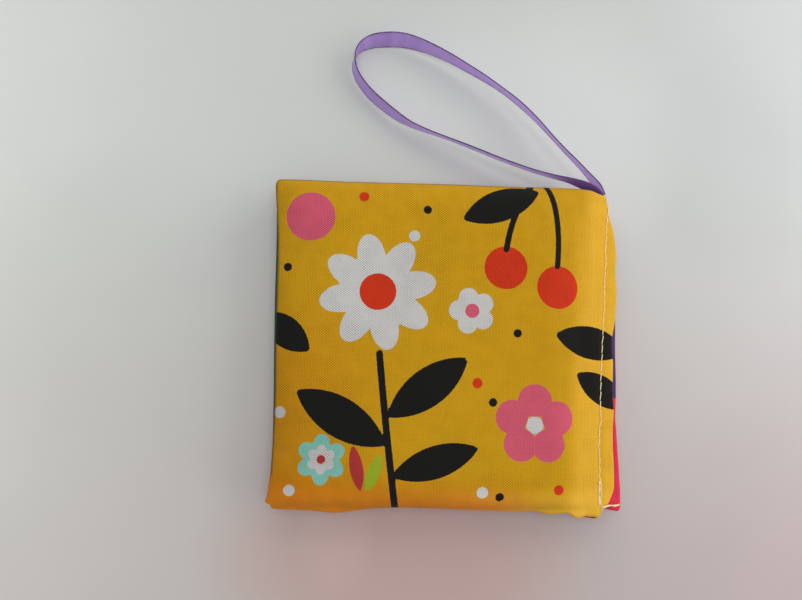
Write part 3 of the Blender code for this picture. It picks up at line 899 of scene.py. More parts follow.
COVER_PRINT = Print(
    # the large daisy, its stem and its leaves
    Motif(Ink.WHITE, Shape.FLOWER, (-25.0, 17.0), 20.5, lobes=8, turn=0.2),
    Motif(Ink.RED, Shape.DISC, (-25.0, 17.0), 6.4),
    Motif(Ink.BLACK, Shape.STEM, (-24.0, -4.4), 2.4, to=(-17.0, -61.0), bend=(-21.0, -34.0)),
    Motif(Ink.BLACK, Shape.LEAF, (-21.3, -35.5), 13.5, to=(-52.0, -17.5)),
    Motif(Ink.BLACK, Shape.LEAF, (-20.8, -26.0), 13.0, to=(6.5, -5.5)),
    Motif(Ink.BLACK, Shape.LEAF, (-19.0, -46.0), 11.0, to=(10.5, -36.0)),
    # blossoms and berries
    Motif(Ink.PINK, Shape.FLOWER, (30.0, -28.0), 14.0, lobes=5, turn=0.3),
    Motif(Ink.WHITE, Shape.DISC, (30.0, -28.0), 3.0),
    Motif(Ink.AQUA, Shape.FLOWER, (-43.0, -40.5), 8.6, lobes=6, turn=0.5),
    Motif(Ink.WHITE, Shape.FLOWER, (-43.0, -40.5), 5.0, lobes=6, turn=0.5),
    Motif(Ink.WINE, Shape.DISC, (-43.0, -40.5), 1.5),
    Motif(Ink.WINE, Shape.LEAF, (-29.5, -51.0), 4.6, to=(-32.5, -35.5)),
    Motif(Ink.LIME, Shape.LEAF, (-27.5, -51.0), 4.6, to=(-23.0, -38.5)),
    Motif(Ink.PINK, Shape.DISC, (-49.0, 43.0), 8.6),
    Motif(Ink.BLACK, Shape.STEM, (20.0, 33.0), 2.1, to=(33.0, 61.0), bend=(22.5, 50.0)),
    Motif(Ink.BLACK, Shape.STEM, (38.2, 27.5), 2.1, to=(33.0, 61.0), bend=(40.5, 48.0)),
    Motif(Ink.RED, Shape.DISC, (19.8, 26.5), 7.6),
    Motif(Ink.RED, Shape.DISC, (38.4, 20.0), 7.6),
    Motif(Ink.BLACK, Shape.LEAF, (32.0, 54.5), 11.5, to=(4.5, 43.5)),
    # a sprig from the spine, and what runs over the edges
    Motif(Ink.BLACK, Shape.LEAF, (65.0, -2.0), 11.5, to=(37.5, 3.5)),
    Motif(Ink.BLACK, Shape.LEAF, (65.0, -22.0), 10.0, to=(45.5, -10.0)),
    Motif(Ink.BLACK, Shape.LEAF, (-65.0, 9.0), 10.5, to=(-48.0, -4.0)),
    Motif(Ink.WHITE, Shape.FLOWER, (8.0, 11.0), 8.2, lobes=5, turn=0.6),
    *spray(Ink.PINK, 2.5, ((8.0, 11.0),)),
    *spray(Ink.BLACK, 1.5, ((-8.0, 46.5), (15.5, -20.5), (24.0, 3.5), (-56.5, 25.0), (18.0, -52.5))),
    *spray(Ink.WHITE, 2.0, ((-12.5, 37.0), (-53.5, -51.0), (12.0, -51.0), (-57.5, -25.0))),
    *spray(Ink.RED, 1.8, ((-30.5, 50.5), (10.0, -14.0), (38.5, -50.0))),
    *spray(Ink.YELLOW, 0.9, ((-25.0, 20.6), (-25.0, 13.4), (-21.4, 17.0), (-28.6, 17.0))),
)


def meadow(leaf_ink: Ink, flower_ink: Ink, centre_ink: Ink, seed: int) -> Print:
    """A page of flowers and leaves in rows, each turned its own way.

    Args:
        leaf_ink: the leaves' ink.
        flower_ink: the petals' ink.
        centre_ink: the ink of the flowers' middles.
        seed: chooses the turns.

    Returns:
        The page's print.
    """
    draw = np.random.default_rng(seed)
    motifs: list[Motif] = []
    for number, (x, y) in enumerate((x, y) for y in (-38.0, 0.0, 38.0) for x in (-42.0, -6.0, 30.0)):
        x, y = x + draw.uniform(-4, 4), y + draw.uniform(-4, 4)
        turn = draw.uniform(0, math.pi)
        if number % 2 == 0:
            motifs.append(Motif(flower_ink, Shape.FLOWER, (x, y), 12.0, lobes=6, turn=turn))
            motifs.append(Motif(centre_ink, Shape.DISC, (x, y), 3.6))
        else:
            for side in (0.0, 2.2):
                end = (x + 17 * math.cos(turn + side), y + 17 * math.sin(turn + side))
                motifs.append(Motif(leaf_ink, Shape.LEAF, (x, y), 8.0, to=end))
    return Print(*motifs)


def night(seed: int, *extra: Motif) -> Print:
    """A page of stars about a moon.

    Args:
        seed: chooses the stars' places.
        extra: motifs that go over them.

    Returns:
        The page's print.
    """
    draw = np.random.default_rng(seed)
    motifs = [Motif(Ink.YELLOW, Shape.MOON, (-8.0, 14.0), 19.0)]
    for x, y in ((-46, 40), (-40, -4), (-20, 44), (14, 42), (34, 28), (40, -6), (-52, -38), (20, -34)):
        size = draw.uniform(4.0, 6.5)
        motifs.append(Motif(Ink.WHITE, Shape.STAR, (x, y), size, turn=draw.uniform(0, 1.2)))
    return Print(*motifs, *extra)


def rounds(first: Ink, second: Ink) -> Print:
    """A page of discs in two inks, in staggered rows."""
    places = [(x + 9.0 * (row % 2), y) for row, y in enumerate((-42.0, -21.0, 0.0, 21.0, 42.0))
              for x in (-50.0, -25.0, 0.0, 25.0)]
    return Print(*(Motif(first if number % 2 else second, Shape.DISC, place, 5.5 + 1.5 * (number % 3))
                   for number, place in enumerate(places)))


# ---------------------------------------------------------------- the book


@dataclass(frozen=True)
class Outline:
    """A leaf's four edge lines, each through places and how far out it lies there, in mm."""

    left: Line
    right: Line
    top: Line
    bottom: Line

    @staticmethod
    def read(line: Line, at: Array) -> Array:
        """The line's own place at places in metres."""
        return smooth_line(np.array(line) * MM, at)


def plain_outline(free: float, waist: float, upper: float, lower: float, ends: float, seed: int
                  ) -> Outline:
    """The outline of a leaf whose edges hardly show: as the model has it, a little uneven.

    Args:
        free: mm that the free edge falls short of the book's outline.
        waist: mm more at its middle.
        upper: mm that the sewn edge falls short at its upper end.
        lower: mm that it falls short at its lower end.
        ends: mm that the two ends fall short.
        seed: chooses the unevenness.

    Returns:
        The outline.
    """
    draw = np.random.default_rng(seed)
    ys, xs = np.linspace(-58, 58, 9), np.linspace(-63, 63, 9)
    uneven = 0.28
    left = -62 + free + waist * (1 - (ys / 58) ** 2) + draw.normal(0, uneven, 9)
    right = 62 - np.interp(ys, [-58, 58], [lower, upper]) + draw.normal(0, uneven / 2, 9)
    top = 57.1 - ends + draw.normal(0, uneven, 9)
    bottom = -57.1 + ends + draw.normal(0, uneven, 9)
    return Outline(*(tuple(map(tuple, np.column_stack(pair).tolist()))
                     for pair in ((ys, left), (ys, right), (xs, top), (xs, bottom))))


@dataclass(frozen=True)
class Binding:
    """The sizes that all leaves share, in metres, and the heights that they give each layer."""

    half_width: float = 0.0620
    half_height: float = 0.05712
    hinge_x: float = 0.0530
    hinge_z: float = 0.01295
    leaves: int = 5
    rim: float = 0.0020
    middle: float = 0.0030
    gap: float = 0.0003
    cloth: float = 0.00042
    edge_rise: float = 0.0042
    end_rise: float = 0.0028
    spine_reach: float = 0.0150
    spine_bend: float = 6.0
    spine_lift: float = 0.0012
    lift_reach: float = 0.0070
    rim_lift: float = 0.0005
    pad_inset: float = 0.0060
    droop: float = 0.13
    squeeze: float = 0.12
    groove: float = 0.00042
    groove_width: float = 0.0011
    groove_ends: tuple[float, float] = (-0.0565, 0.0535)
    hole_pucker: float = 0.00007
    wave: float = 0.00028
    block_middle: float = 0.0068
    block_top: float = 0.0124
    full_height: float = 0.0152
    bundle: tuple[float, float] = (0.0568, 0.0575)  # where the ribbon's ends lie
    bundle_reach: tuple[float, float] = (0.0036, 0.0050)
    bundle_room: float = 0.00026
    seam_line: Line = (
        (-57.0, 53.75), (-51.6, 53.85), (-45.5, 53.9), (-33.1, 53.9), (-28.0, 54.05), (-20.6, 54.4),
        (-14.3, 54.7), (-7.9, 55.0), (-1.5, 55.3), (4.9, 55.65), (11.3, 56.05), (17.8, 56.4),
        (24.4, 56.7), (30.9, 57.0), (37.5, 57.35), (44.2, 57.9), (50.8, 58.6), (57.0, 59.4),
    )

    def seam_x(self, y: Array) -> Array:
        """Where the row of stitches runs at y."""
        return smooth_line(np.array(self.seam_line) * MM, y)

    def padding(self, x: Array, y: Array) -> Array:
        """Share of the full padding.

        The product of 1 - exp(-e / rise) of the distance e from the free edge and from the nearer
        end, and of a slope from the stitches that levels off: 1 - ln(1 + exp(b (1 - d / reach))) / b.
        """
        from_free = 1 - np.exp(-np.maximum(x + self.half_width, 0) / self.edge_rise)
        from_end = 1 - np.exp(-np.maximum(self.half_height - np.abs(y), 0) / self.end_rise)
        inside = np.maximum(self.hinge_x - x, 0)
        slope = self.spine_bend * (1 - inside / self.spine_reach)
        from_spine = 1 - np.log1p(np.exp(slope)) / self.spine_bend
        return from_free * from_end * np.maximum(from_spine, 0)

    def levels(self, number: int, x: Array, y: Array) -> tuple[Array, Array]:
        """A leaf's middle height and half thickness; the front cover is number 0."""
        beyond = np.maximum(x - self.hinge_x, 0)
        thickness = self.rim + (self.middle - self.rim) * self.padding(x, y)
        thickness = thickness * (1 - self.squeeze * eased(beyond / 0.009))
        spine = self.spine_lift * eased(1 - (self.hinge_x - x) / self.lift_reach)
        rim = np.minimum(np.minimum(x + self.half_width, self.half_height - np.abs(y)), self.pad_inset)
        free = self.rim_lift * (1 - np.maximum(rim, 0) / self.pad_inset) ** 2
        under = self.leaves - 1 - number
        bottom = np.maximum(spine, free) + under * (thickness + self.gap)
        share = 0.70 + 0.30 * under / (self.leaves - 1)
        bottom = bottom - self.droop * beyond * share
        return bottom + thickness / 2, thickness / 2

    def settled(self, x: Array, y: Array, z: Array) -> Array:
        """Heights drawn in by the stitches, and lifted by the slow waves that all leaves share.

        The groove is a bell curve over the row of stitches, deepest at each hole, and a layer goes
        down or up with its distance from the block's middle.
        """
        across = (x - self.seam_x(y)) / self.groove_width
        hole = 0.5 + 0.5 * np.cos(2 * math.pi * (y - SEAM_START) / STITCH)
        lower, upper = self.groove_ends
        end = eased((y - lower) / 0.0015) * eased((upper - y) / 0.0015)
        deep = self.groove * (0.72 + 0.42 * hole**3) * np.exp(-(across**2)) * end
        puckers = self.hole_pucker * (hole - 0.5) * np.exp(-np.abs(across) / 3.2) * end
        share = (z - self.block_middle) / (self.block_top - self.block_middle)
        waves = self.wave * ripples(x, y, 0.030, 0.075, 5) * self.padding(x, y)
        return z - (deep - puckers) * np.clip(share, -1, 1.2) + waves * z / self.full_height


@dataclass(frozen=True)
class Relief:
    """The unevenness of one outer cloth face, over the leaf's own shape."""

    broad: float = 0.00010
    fine: float = 0.00003
    pucker: float = 0.00006
    pucker_pitch: float = 0.0068
    seed: int = 1

    def height(self, binding: Binding, x: Array, y: Array, rim: Array) -> Array:
        """Outward height at places on the cloth.

        Broad and fine ripples, and puckers along the rim that die out into the leaf.
        """
        inside = eased(rim / 0.006) * eased((binding.hinge_x - x) / 0.010 + 0.4)
        relief = self.broad * ripples(x, y, 0.014, 0.040, self.seed) * inside
        relief = relief + self.fine * ripples(x, y, 0.004, 0.009, self.seed + 1) * eased(rim / 0.003)
        along = np.where(np.abs(y) > np.abs(x) * 0.92, x, y)
        drift = 2.2 * ripples(x, y, 0.02, 0.05, self.seed + 2)
        puckers = np.cos(2 * math.pi * along / self.pucker_pitch + drift)
        near_rim = np.exp(-np.abs(rim - 0.002) / 0.0022) * eased(rim / 0.001)
        return relief + self.pucker * puckers * near_rim


@dataclass(frozen=True)
class PanelPlan:
    """One cloth panel: its ground, print, evenness and grid."""

    cloth: Cloth
    motifs: Print
    relief: Relief = field(default_factory=Relief)
    spacing: float = 0.0012
    painted_light_and_smoothing: float = 0.0  # how much painted light and shade it carries along the spine, at the left and below, and how much its weave is smoothed


@dataclass
class ClothPanel:
    """A cloth panel of a leaf, from its free edge over the stitches to the spine edge."""

    name: str
    number: int
    side: int
    outline: Outline
    plan: PanelPlan
    binding: Binding
    roll: float = 0.0013
    roll_steps: int = 6
    corner: float = 0.0020
    sharp_corner: float = 0.0010
    seam_gap: float = 0.00012

    def lines(self, length: float, fine_from: float) -> Array:
        """Places from one edge to the other: close on the two rolled edges, even between.

        On a rolled edge they are roll (1 - cos a) for even angles a, so that the round is even.
        """
        angles = np.linspace(0, math.pi / 2, self.roll_steps + 1)
        edge = self.roll * (1 - np.cos(angles))
        count = max(int((fine_from - 2 * self.roll) / self.plan.spacing), 2)
        inner = np.linspace(self.roll, fine_from, count + 1)[1:]
        if fine_from < length - self.roll:
            close = int((length - self.roll - fine_from) / (self.plan.spacing * 0.62)) + 1
            inner = np.append(inner, np.linspace(fine_from, length - self.roll, close + 1)[1:])
        return np.concatenate([edge, inner, length - edge[-2::-1]])

    def rounded(self, ex: Array, ey: Array, width: float, height: float
                ) -> tuple[Array, Array]:
        """Square corners drawn onto arcs: a ring at max(u, v) from the corner's centre keeps it."""
        sharp = (ex > width / 2) == (ey > height / 2)  # the upper one at the spine, the lower free one
        radius = np.where(sharp, self.sharp_corner, self.corner)
        u = radius - np.minimum(ex, width - ex)
        v = radius - np.minimum(ey, height - ey)
        inside = (u > 0) & (v > 0)
        share = np.where(inside, np.maximum(u, v) / np.where(inside, np.hypot(u, v), 1), 1)
        near_x, near_y = radius - u * share, radius - v * share
        ex = np.where(inside, np.where(ex < width / 2, near_x, width - near_x), ex)
        ey = np.where(inside, np.where(ey < height / 2, near_y, height - near_y), ey)
        return ex, ey

    def flat_grid(self) -> tuple[Array, Array, Array]:
        """The panel laid flat: places x, y inside the leaf's outline, and the distance from its rim."""
        width, height = 2 * self.binding.half_width, 2 * self.binding.half_height
        ex, ey = np.meshgrid(self.lines(width, width - 0.016), self.lines(height, height - self.roll),
                             indexing="ij")
        rim = np.minimum(np.minimum(ex, width - ex), np.minimum(ey, height - ey))
        ex, ey = self.rounded(ex, ey, width, height)
        y = ey - self.binding.half_height
        left, right = (Outline.read(line, y) for line in (self.outline.left, self.outline.right))
        x = left + (right - left) * ex / width
        low, high = (Outline.read(line, x) for line in (self.outline.bottom, self.outline.top))
        return x, low + (high - low) * ey / height, rim

    def outer_face(self) -> tuple[Array, Array]:
        """The outer face's points, n x m x 3, and the distance from the rim at each.

        z is the leaf's middle plus or minus its half thickness times sqrt(1 - (1 - e / roll)^2), the
        quarter round of the rolled edge, and the relief goes on outwards. The ribbon's ends press a
        flat bell, exp(-u^4 - v^4), into the two faces that they lie between.
        """
        x, y, rim = self.flat_grid()
        middle, half = self.binding.levels(self.number, x, y)
        round_share = np.sqrt(np.clip(1 - (1 - np.clip(rim / self.roll, 0, 1)) ** 2, 0, 1))
        reach = self.seam_gap + (half - self.seam_gap) * round_share
        relief = self.plan.relief.height(self.binding, x, y, rim) * round_share
        z = middle + self.side * (reach + relief)
        if (self.number, self.side) in ((0, -1), (1, 1)):  # the two faces that the ribbon lies between
            (bundle_x, bundle_y), (wide, tall) = self.binding.bundle, self.binding.bundle_reach
            bundle = np.exp(-(((x - bundle_x) / wide) ** 4) - ((y - bundle_y) / tall) ** 4)
            z = z - self.side * self.binding.bundle_room * bundle
        z = self.binding.settled(x, y, z)
        return np.stack([x, y, np.maximum(z, 0.00002)], axis=-1), rim

    def put_painted_light_and_smoothing(self, mesh: bpy.types.Mesh, x: Array, y: Array) -> None:
        """Stores the painted light and shade at each place, and where the weave shows less, which its
        material reads.

        Every share is a product of smooth steps or a sum of such. One is painted light that grows
        towards the stitches, falls back a little right beside them and grows along the lower edge, less
        painted shade at the left. Another, a warmer tone, is painted warm light on the lowest strip
        and, weakly, painted shade on the left. smoothed, where the weave shows less, is a bell curve
        down the panel, without the left side and the spine.

        Args:
            mesh: the panel's mesh.
            x: its vertices' places across in mm.
            y: their places along in mm.
        """
        aside = self.binding.seam_x(y * MM) / MM - x
        # painted light towards the stitches, falling back a little right beside them
        spine = 1.42 * eased((14.5 - aside) / 10.0) - 0.28 * eased((4.0 - aside) / 3.5)
        # painted light along the lower edge
        bottom_painted_light = 0.45 + 0.55 * eased((x + 12.0) / 30.0) * eased(aside / 8.0)
        bottom_painted_light = bottom_painted_light * eased((-y - 48.0) / 6.0)
        # the warm painted light of the lowest strip
        low = eased((-y - 43.0 - 0.06 * x) / 14.0) * eased((38.0 - x) / 22.0)
        # painted shade at the left
        left = 0.40 * eased((-x - 8.0) / 50.0) * eased((30.0 - y) / 60.0) * (1 - low)
        bell = np.exp(-(((y + 16.0) / 36.0) ** 2))
        smoothed = 0.42 * bell * eased((x + 44.0) / 30.0) * eased((50.0 - x) / 14.0)
        shares = {"smoothed": smoothed, "faded": spine - left + bottom_painted_light, "tanned": low + left}
        for name, share in shares.items():
            put_attribute(mesh, name, self.plan.painted_light_and_smoothing * share)

    def build(self) -> bpy.types.Object:
        """Makes the panel's cloth, a thin closed shell, and dresses it.

        Returns:
            The piece.
        """
        outer, rim = self.outer_face()
        rows, columns = rim.shape
        normal = normals_of(outer) * self.side
        lifted = outer - normal * self.binding.cloth
        size = rows * columns
        outer_quads, inner_quads, rim_faces = (
            grid_quads(rows, columns), grid_quads(rows, columns, size), rim_quads(rows, columns))
        if self.side > 0:
            inner_quads = inner_quads[:, ::-1]
        else:
            outer_quads, rim_faces = outer_quads[:, ::-1], rim_faces[:, ::-1]
        points = np.concatenate([outer.reshape(-1, 3), lifted.reshape(-1, 3)])
        obj = mesh_object(self.name, points, np.concatenate([outer_quads, inner_quads, rim_faces]))
        flat = np.tile(outer.reshape(-1, 3)[:, :2], (2, 1))
        put_uv(obj.data, "cloth", flat / CLOTH_SPAN + 0.5)
        x_mm, y_mm = flat[:, 0] / MM, flat[:, 1] / MM
        # the rim's painted shade is left off the right part and the lower edge
        painted_shade_spared = 2 * eased((x_mm - 30) / 20) + 2 * eased((-y_mm - 45) / 8)
        put_attribute(obj.data, "rim", np.tile(rim.ravel() / MM, 2) + painted_shade_spared)
        self.plan.motifs.lay_on(obj.data, x_mm, y_mm)
        self.put_painted_light_and_smoothing(obj.data, x_mm, y_mm)
        inks = self.plan.motifs.inks
        obj.data.materials.append(PrintedCotton().material(self.name, self.plan.cloth, inks))
        return obj


@dataclass
class Leaf:
    """One padded leaf: two cloth panels over wadding and film."""

    name: str
    number: int
    outline: Outline
    front: PanelPlan
    back: PanelPlan
    binding: Binding
    bend_from: float = 0.0041
    bend_to: float = 0.0006
    fill: float = 0.35
    inset: float = 0.0062  # of the filling, from the leaf's edges
    spine_inset: float = 0.0142
    slack: float = 0.00022
    pad_spacing: float = 0.0022
    pad_room: tuple[float, float] = (-0.95, 0.45)  # from underside to upper side, see slab
    film_spacing: float = 0.0013
    film_room: tuple[float, float] = (0.72, 0.86)

    @property
    def turns(self) -> bool:
        """Whether the leaf turns about the stitches; the back cover stays."""
        return self.number < self.binding.leaves - 1

    def carry(self, obj: bpy.types.Object) -> None:
        """Attaches a cloth panel of the back cover to the sewn block, and bakes any other leaf's panel
        into place.
        """
        if not self.turns:
            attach(obj, "sewn_block")
            return
        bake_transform(obj)

    def build_panels(self) -> None:
        """Makes the front and the back cloth."""
        for face, side, plan in (("front", 1, self.front), ("back", -1, self.back)):
            panel = ClothPanel(f"{self.name}_{face}_cloth", self.number, side, self.outline, plan,
                               self.binding)
            obj = panel.build()
            nodes = [f"{self.name}_{face}_panel"] + ([f"{self.name}_sewn_edge"] if side > 0 else [])
            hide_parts(*nodes)
            self.carry(obj)
            log.info("%s: %d faces", obj.name, len(obj.data.polygons))

    def slab(self, name: str, spacing: float, low: float, high: float, rough: float, seed: int
             ) -> bpy.types.Object:
        """A closed sheet inside the leaf.

        Args:
            name: the piece's name.
            spacing: its grid.
            low: share of the room inside the leaf, from -1 to 1, at which its underside lies.
            high: the same for its upper side.
            rough: how far its faces wander, in metres.
            seed: chooses how.

        Returns:
            The piece.
        """
        left = -self.binding.half_width + self.inset
        right = self.binding.hinge_x - self.spine_inset
        half = self.binding.half_height - self.inset
        xs = np.linspace(left, right, int((right - left) / spacing))
        ys = np.linspace(-half, half, int(2 * half / spacing))
        x, y = np.meshgrid(xs, ys, indexing="ij")
        middle, thick = self.binding.levels(self.number, x, y)
        room = thick - self.binding.cloth - self.slack
        edge = np.minimum(np.minimum(x - left, right - x), half - np.abs(y))
        closing = np.sqrt(eased(edge / 0.003))
        centre = middle + room * (low + high) / 2
        reach = room * (high - low) / 2 * (0.30 + 0.70 * closing)
        faces = []
        for side, shift in ((1, 0), (-1, 3)):
            wander = rough * ripples(x, y, 0.003, 0.012, seed + shift) * closing
            z = self.binding.settled(x, y, centre + side * reach + wander)
            faces.append(np.stack([x, y, z], axis=-1))
        rows, columns = x.shape
        points = np.concatenate([face.reshape(-1, 3) for face in faces])
        quads = np.concatenate([grid_quads(rows, columns),
                                grid_quads(rows, columns, rows * columns)[:, ::-1],
                                rim_quads(rows, columns)])
        return mesh_object(name, points, quads)

    def build_filling(self) -> None:
        """Makes the wadding and the crinkle film over it."""
        filling = Filling()
        pad = self.slab(f"{self.name}_soft_wadding", self.pad_spacing, *self.pad_room, 0.00006,
                        40 + self.number)
        pad.data.materials.append(bpy.data.materials.get("white_wadding") or filling.wadding())
        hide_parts(f"{self.name}_wadding")
        film = self.slab(f"{self.name}_crackling_film", self.film_spacing, *self.film_room, 0.00007,
                         60 + self.number)
        film.data.materials.append(bpy.data.materials.get("crinkle_film") or filling.film())
        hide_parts(f"{self.name}_crinkle_film")
        for piece in (pad, film):
            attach(piece, self.name if self.turns else "sewn_block")
            log.info("%s: %d faces", piece.name, len(piece.data.polygons))


FRONT_COVER_OUTLINE = Outline(
    left=((-58.0, -59.8), (-56.8, -59.9), (-55.85, -60.1), (-55.05, -61.9), (-54.4, -61.8),
          (-53.2, -61.4), (-49.9, -60.85), (-45.0, -60.25), (-39.8, -60.0), (-31.0, -59.8),
          (-21.0, -59.7), (-3.8, -60.1), (13.7, -60.3), (35.0, -60.7), (44.0, -61.3), (54.0, -62.2),
          (58.0, -62.3)),
    right=((-58.0, 57.9), (-55.3, 58.2), (-54.0, 58.9), (-52.7, 59.4), (-49.0, 59.65), (-43.0, 59.6),
           (-36.0, 59.35), (-29.0, 59.5), (-24.0, 59.9), (-20.0, 59.7), (-16.5, 59.5), (-10.0, 59.8),
           (-6.0, 59.9), (-2.5, 59.6), (1.5, 59.4), (5.8, 60.1), (8.5, 60.7), (12.0, 61.1),
           (16.6, 61.45), (20.0, 61.6), (24.0, 61.5), (27.5, 61.3), (31.3, 61.45), (34.2, 61.6),
           (37.0, 61.6), (39.9, 61.3), (42.7, 61.0), (45.6, 60.3), (48.4, 59.4), (53.3, 58.5),
           (58.0, 57.8)),
    top=((-63.0, 57.1), (-60.0, 57.2), (-37.6, 57.1), (-17.8, 57.2), (2.5, 57.3), (25.9, 57.1),
         (40.6, 57.2), (50.0, 56.8), (52.0, 56.4), (54.2, 55.6), (56.6, 55.0), (58.0, 54.7),
         (63.0, 54.0)),
    bottom=((-63.0, -57.6), (-58.0, -57.9), (-46.0, -58.3), (-37.6, -58.95), (-28.7, -57.8),
            (-20.0, -57.1), (-2.4, -57.3), (6.8, -57.6), (24.6, -57.9), (31.5, -58.0), (35.0, -58.75),
            (40.5, -58.6), (43.2, -58.6), (45.1, -59.9), (46.7, -60.0), (48.6, -59.5), (51.4, -59.45),
            (53.4, -59.4), (54.0, -58.8), (54.5, -57.4), (55.2, -56.4), (56.6, -55.7), (57.8, -55.2),
            (60.0, -54.7), (63.0, -54.5)),
)
LEAF_1_OUTLINE = Outline(
    left=((-58.0, -60.4), (-45.0, -60.2), (-28.0, -60.3), (-21.0, -60.4), (-3.8, -60.9), (13.9, -61.3),
          (35.5, -61.5), (50.0, -61.9), (58.0, -62.0)),
    right=((-58.0, 59.0), (-30.0, 59.0), (0.0, 59.2), (20.0, 60.2), (36.0, 60.2), (58.0, 58.0)),
    top=((-63.0, 56.5), (-30.0, 56.4), (0.0, 56.6), (30.0, 56.4), (50.0, 56.2), (54.2, 55.2),
         (58.0, 54.4), (63.0, 53.6)),
    bottom=((-63.0, -57.4), (-58.0, -57.3), (-48.0, -56.6), (0.0, -56.4), (40.0, -57.0), (46.5, -58.7),
            (48.2, -59.9), (50.6, -60.25), (53.2, -60.3), (54.0, -59.9), (54.6, -58.4), (55.6, -57.0),
            (63.0, -56.6)),
)
LEAF_2_OUTLINE = Outline(
    left=((-58.0, -59.8), (-20.0, -59.6), (20.0, -60.0), (58.0, -60.8)),
    right=((-58.0, 63.1), (-55.5, 63.4), (-51.0, 63.5), (-43.0, 63.15), (-35.0, 62.7), (-28.0, 62.3),
           (-24.0, 62.0), (-18.0, 62.3), (-10.0, 62.4), (-1.0, 62.3), (17.0, 62.5), (24.5, 62.3),
           (36.0, 61.1), (44.0, 59.9), (58.0, 57.8)),
    top=((-63.0, 56.4), (-30.0, 56.8), (0.0, 56.5), (30.0, 56.7), (50.0, 56.4), (58.0, 55.2),
         (63.0, 54.9)),
    bottom=((-63.0, -56.5), (-30.0, -56.9), (0.0, -56.6), (30.0, -56.9), (54.0, -56.6), (58.0, -56.9),
            (61.0, -58.3), (63.0, -59.2)),
)
LEAF_3_OUTLINE = Outline(
    left=((-58.0, -60.0), (-25.0, -59.7), (10.0, -59.9), (58.0, -60.6)),
    right=((-58.0, 63.5), (-55.9, 63.7), (-51.4, 63.7), (-43.0, 63.2), (-35.0, 62.8), (-28.3, 62.4),
           (-24.0, 62.1), (-15.0, 62.3), (0.0, 62.0), (20.0, 61.5), (40.0, 60.4), (58.0, 59.2)),
    top=((-63.0, 56.6), (-20.0, 56.3), (20.0, 56.7), (50.0, 56.3), (58.0, 55.6), (63.0, 55.3)),
    bottom=((-63.0, -56.4), (-20.0, -56.8), (25.0, -56.4), (50.0, -56.8), (57.0, -57.8), (60.5, -58.6),
            (64.0, -58.9)),
)


# ---------------------------------------------------------------- thread and ribbon


